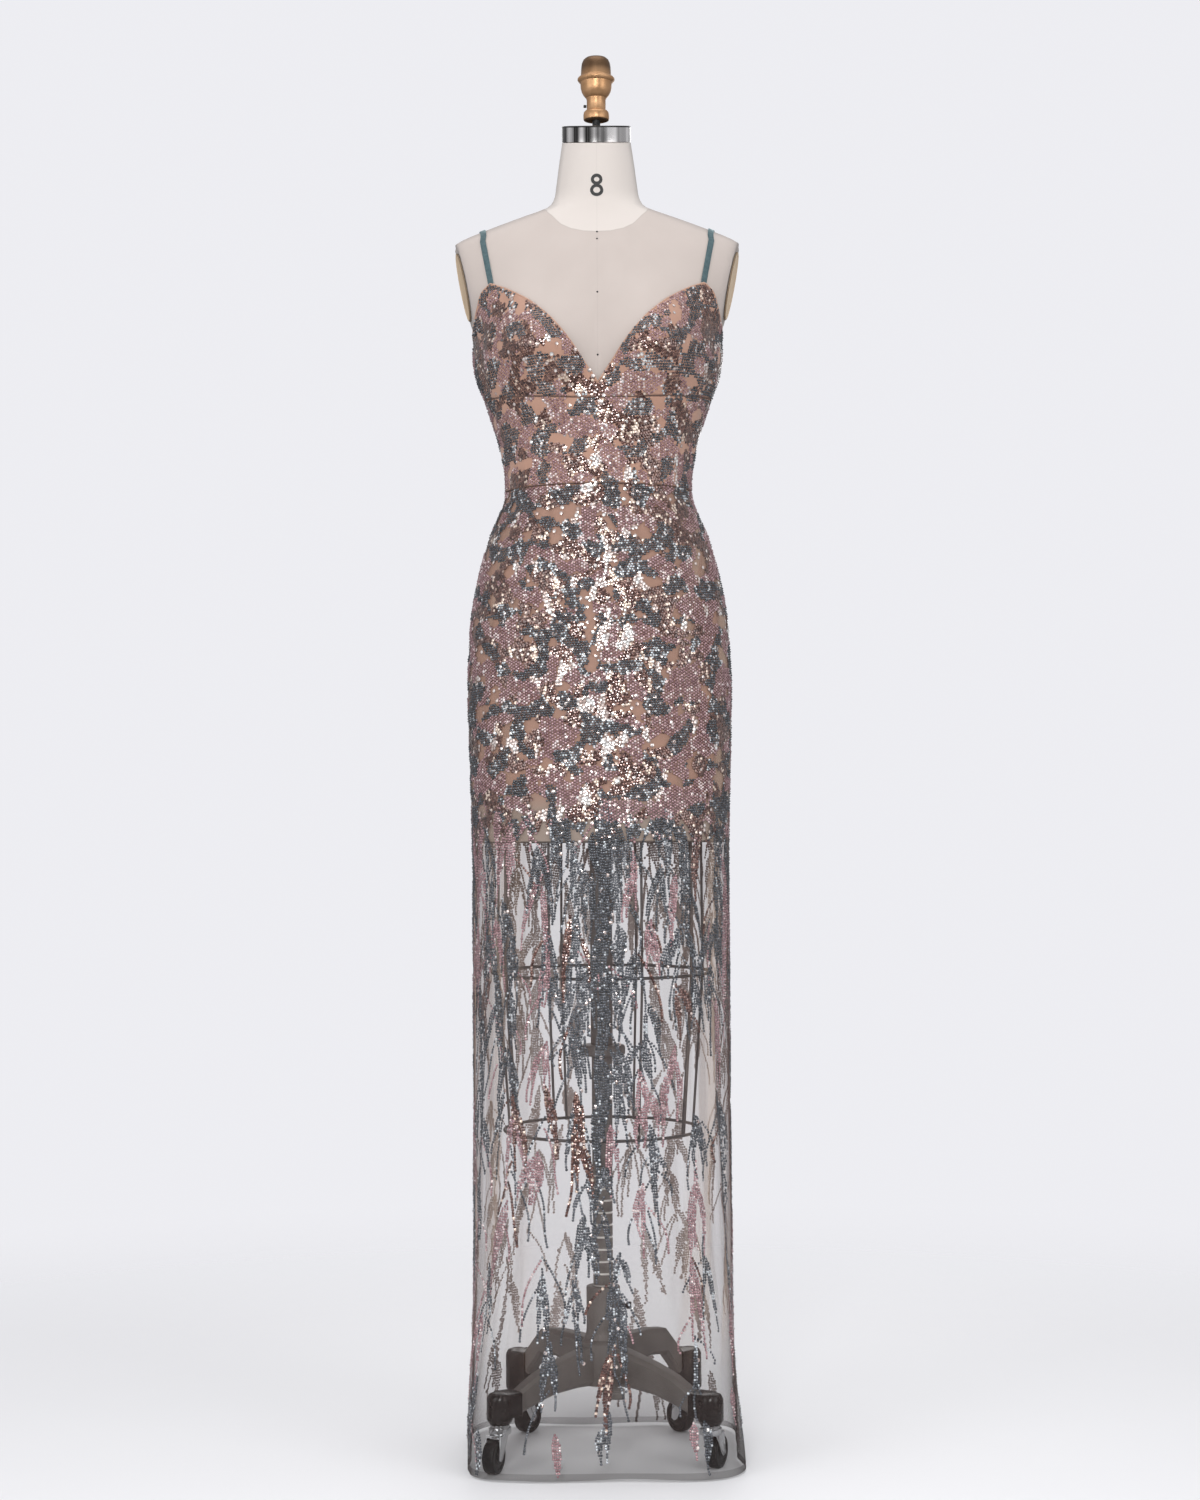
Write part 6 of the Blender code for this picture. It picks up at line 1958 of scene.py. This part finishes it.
CUTS = {
    "cup_left": (0.245, 0.170, 0.0249),
    "cup_right": (0.245, 0.170, 0.0249),
    "midriff_front": (0.450, 0.125, 0.0474),
    "bodice_back_left": (0.225, 0.210, 0.0355),
    "bodice_back_right": (0.225, 0.210, 0.0355),
    "skirt_front": (0.575, 1.275, 0.6500),
    "skirt_back_left": (0.300, 1.275, 0.3400),
    "skirt_back_right": (0.300, 1.275, 0.3400),
    "lining_front": (0.500, 0.470, 0.2150),
    "lining_back": (0.530, 0.470, 0.2250),
}
for node, (wide, long, area) in CUTS.items():
    print(node, "cut", area, "made", round(area_of(cloth[node]), 4))

# %% [markdown]
# ## Floor, light and background
#
# A pale seamless studio: a floor that fades into a background of the same grey, a large
# soft light by the camera that makes the sequins glint down the centre front, and weaker
# ones at the sides. Polished trim needs something dark to reflect as well, so the room
# that the trim sees is dimmer in front than at the sides and above.

# %% Floor
FLOOR_HALF = 2.6
FADE_FROM, FADE_TO = 0.5, 2.4
floor_finish, nodes, shader = new_finish("Pale studio floor", roughness=0.55)
place = place_of(nodes)
two_tone(nodes, shader, mottle(nodes, place, 3.0, 0.5), (0.835, 0.835, 0.850),
         (0.865, 0.865, 0.880))
distance = add(nodes, "ShaderNodeVectorMath", {0: place}, operation="LENGTH").outputs["Value"]
span = {"From Min": FADE_FROM, "From Max": FADE_TO, "To Min": 1.0, "To Max": 0.0}
fade = add(nodes, "ShaderNodeMapRange", {"Value": distance, **span},
           interpolation_type="SMOOTHSTEP")
join(nodes, fade.outputs[0], shader.inputs["Alpha"])
corners = [(x * FLOOR_HALF, y * FLOOR_HALF, 0) for x, y in ((-1, -1), (1, -1), (1, 1), (-1, 1))]
floor_mesh = bpy.data.meshes.new("floor")
floor_mesh.from_pydata(corners, [], [(0, 1, 2, 3)])
floor_mesh.materials.append(floor_finish)
linked("floor", floor_mesh)
print("floor", 2 * FLOOR_HALF, "m wide")

# %% Lights
# Name, place, the point it looks at, size in metres and power in watts
SOFT_LIGHTS = (
    ("Key", (-0.25, -3.3, 1.75), (0, 0, 1.1), 0.7, 52),
    ("Left", (-2.4, -2.2, 1.6), (0, 0, 0.9), 1.6, 26),
    ("Right", (2.4, -2.2, 1.6), (0, 0, 0.9), 1.6, 26),
    ("Top", (0, -0.4, 3.6), (0, 0, 0.8), 2.0, 26),
    ("Back", (0.3, 2.8, 2.2), (0, 0, 1.0), 2.0, 22),
)
for name, place, target, size, power in SOFT_LIGHTS:
    data = bpy.data.lights.new(name, "AREA")
    data.size = size
    data.energy = power
    light = linked(name, data)
    light.location = place
    light.rotation_euler = (Vector(target) - Vector(place)).to_track_quat("-Z", "Y").to_euler()
print("soft lights", len(SOFT_LIGHTS))

# %% Background
BACKGROUND = (0.850, 0.850, 0.886)
ROOM = (0.90, 0.90, 0.93)
ROOM_AHEAD, ROOM_BESIDE, ROOM_ABOVE = 0.20, 0.55, 0.45
world = bpy.data.worlds.new("Studio")
bpy.context.scene.world = world
world.use_nodes = True
nodes = world.node_tree.nodes
backdrop = nodes["Background"]
backdrop.inputs["Color"].default_value = (*BACKGROUND, 1)
direction = add(nodes, "ShaderNodeSeparateXYZ", {0: place_of(nodes, "Generated")})
sideways = maths(nodes, "ABSOLUTE", direction.outputs["X"])
beside = ramp(nodes, sideways, 0.55, 0.95, (ROOM_AHEAD, ROOM_BESIDE))
above = ramp(nodes, direction.outputs["Z"], -0.1, 1.0, (0.0, ROOM_ABOVE))
bright = maths(nodes, "ADD", beside, above)
room = add(nodes, "ShaderNodeBackground", {"Color": (*ROOM, 1), "Strength": bright})
seen = add(nodes, "ShaderNodeLightPath").outputs["Is Camera Ray"]
choice = add(nodes, "ShaderNodeMixShader", {0: seen, 1: room.outputs[0], 2: backdrop.outputs[0]})
join(nodes, choice.outputs[0], nodes["World Output"].inputs["Surface"])
bpy.context.scene.view_settings.view_transform = "Standard"
print("studio ready")

# %% Sizes and finish
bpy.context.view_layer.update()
shown = [made for made in bpy.data.objects if made.type == "MESH" and not made.hide_render]
triangles = sum(len(face.vertices) - 2 for made in shown for face in made.data.polygons)
print("triangles shown, before modifiers:", triangles)
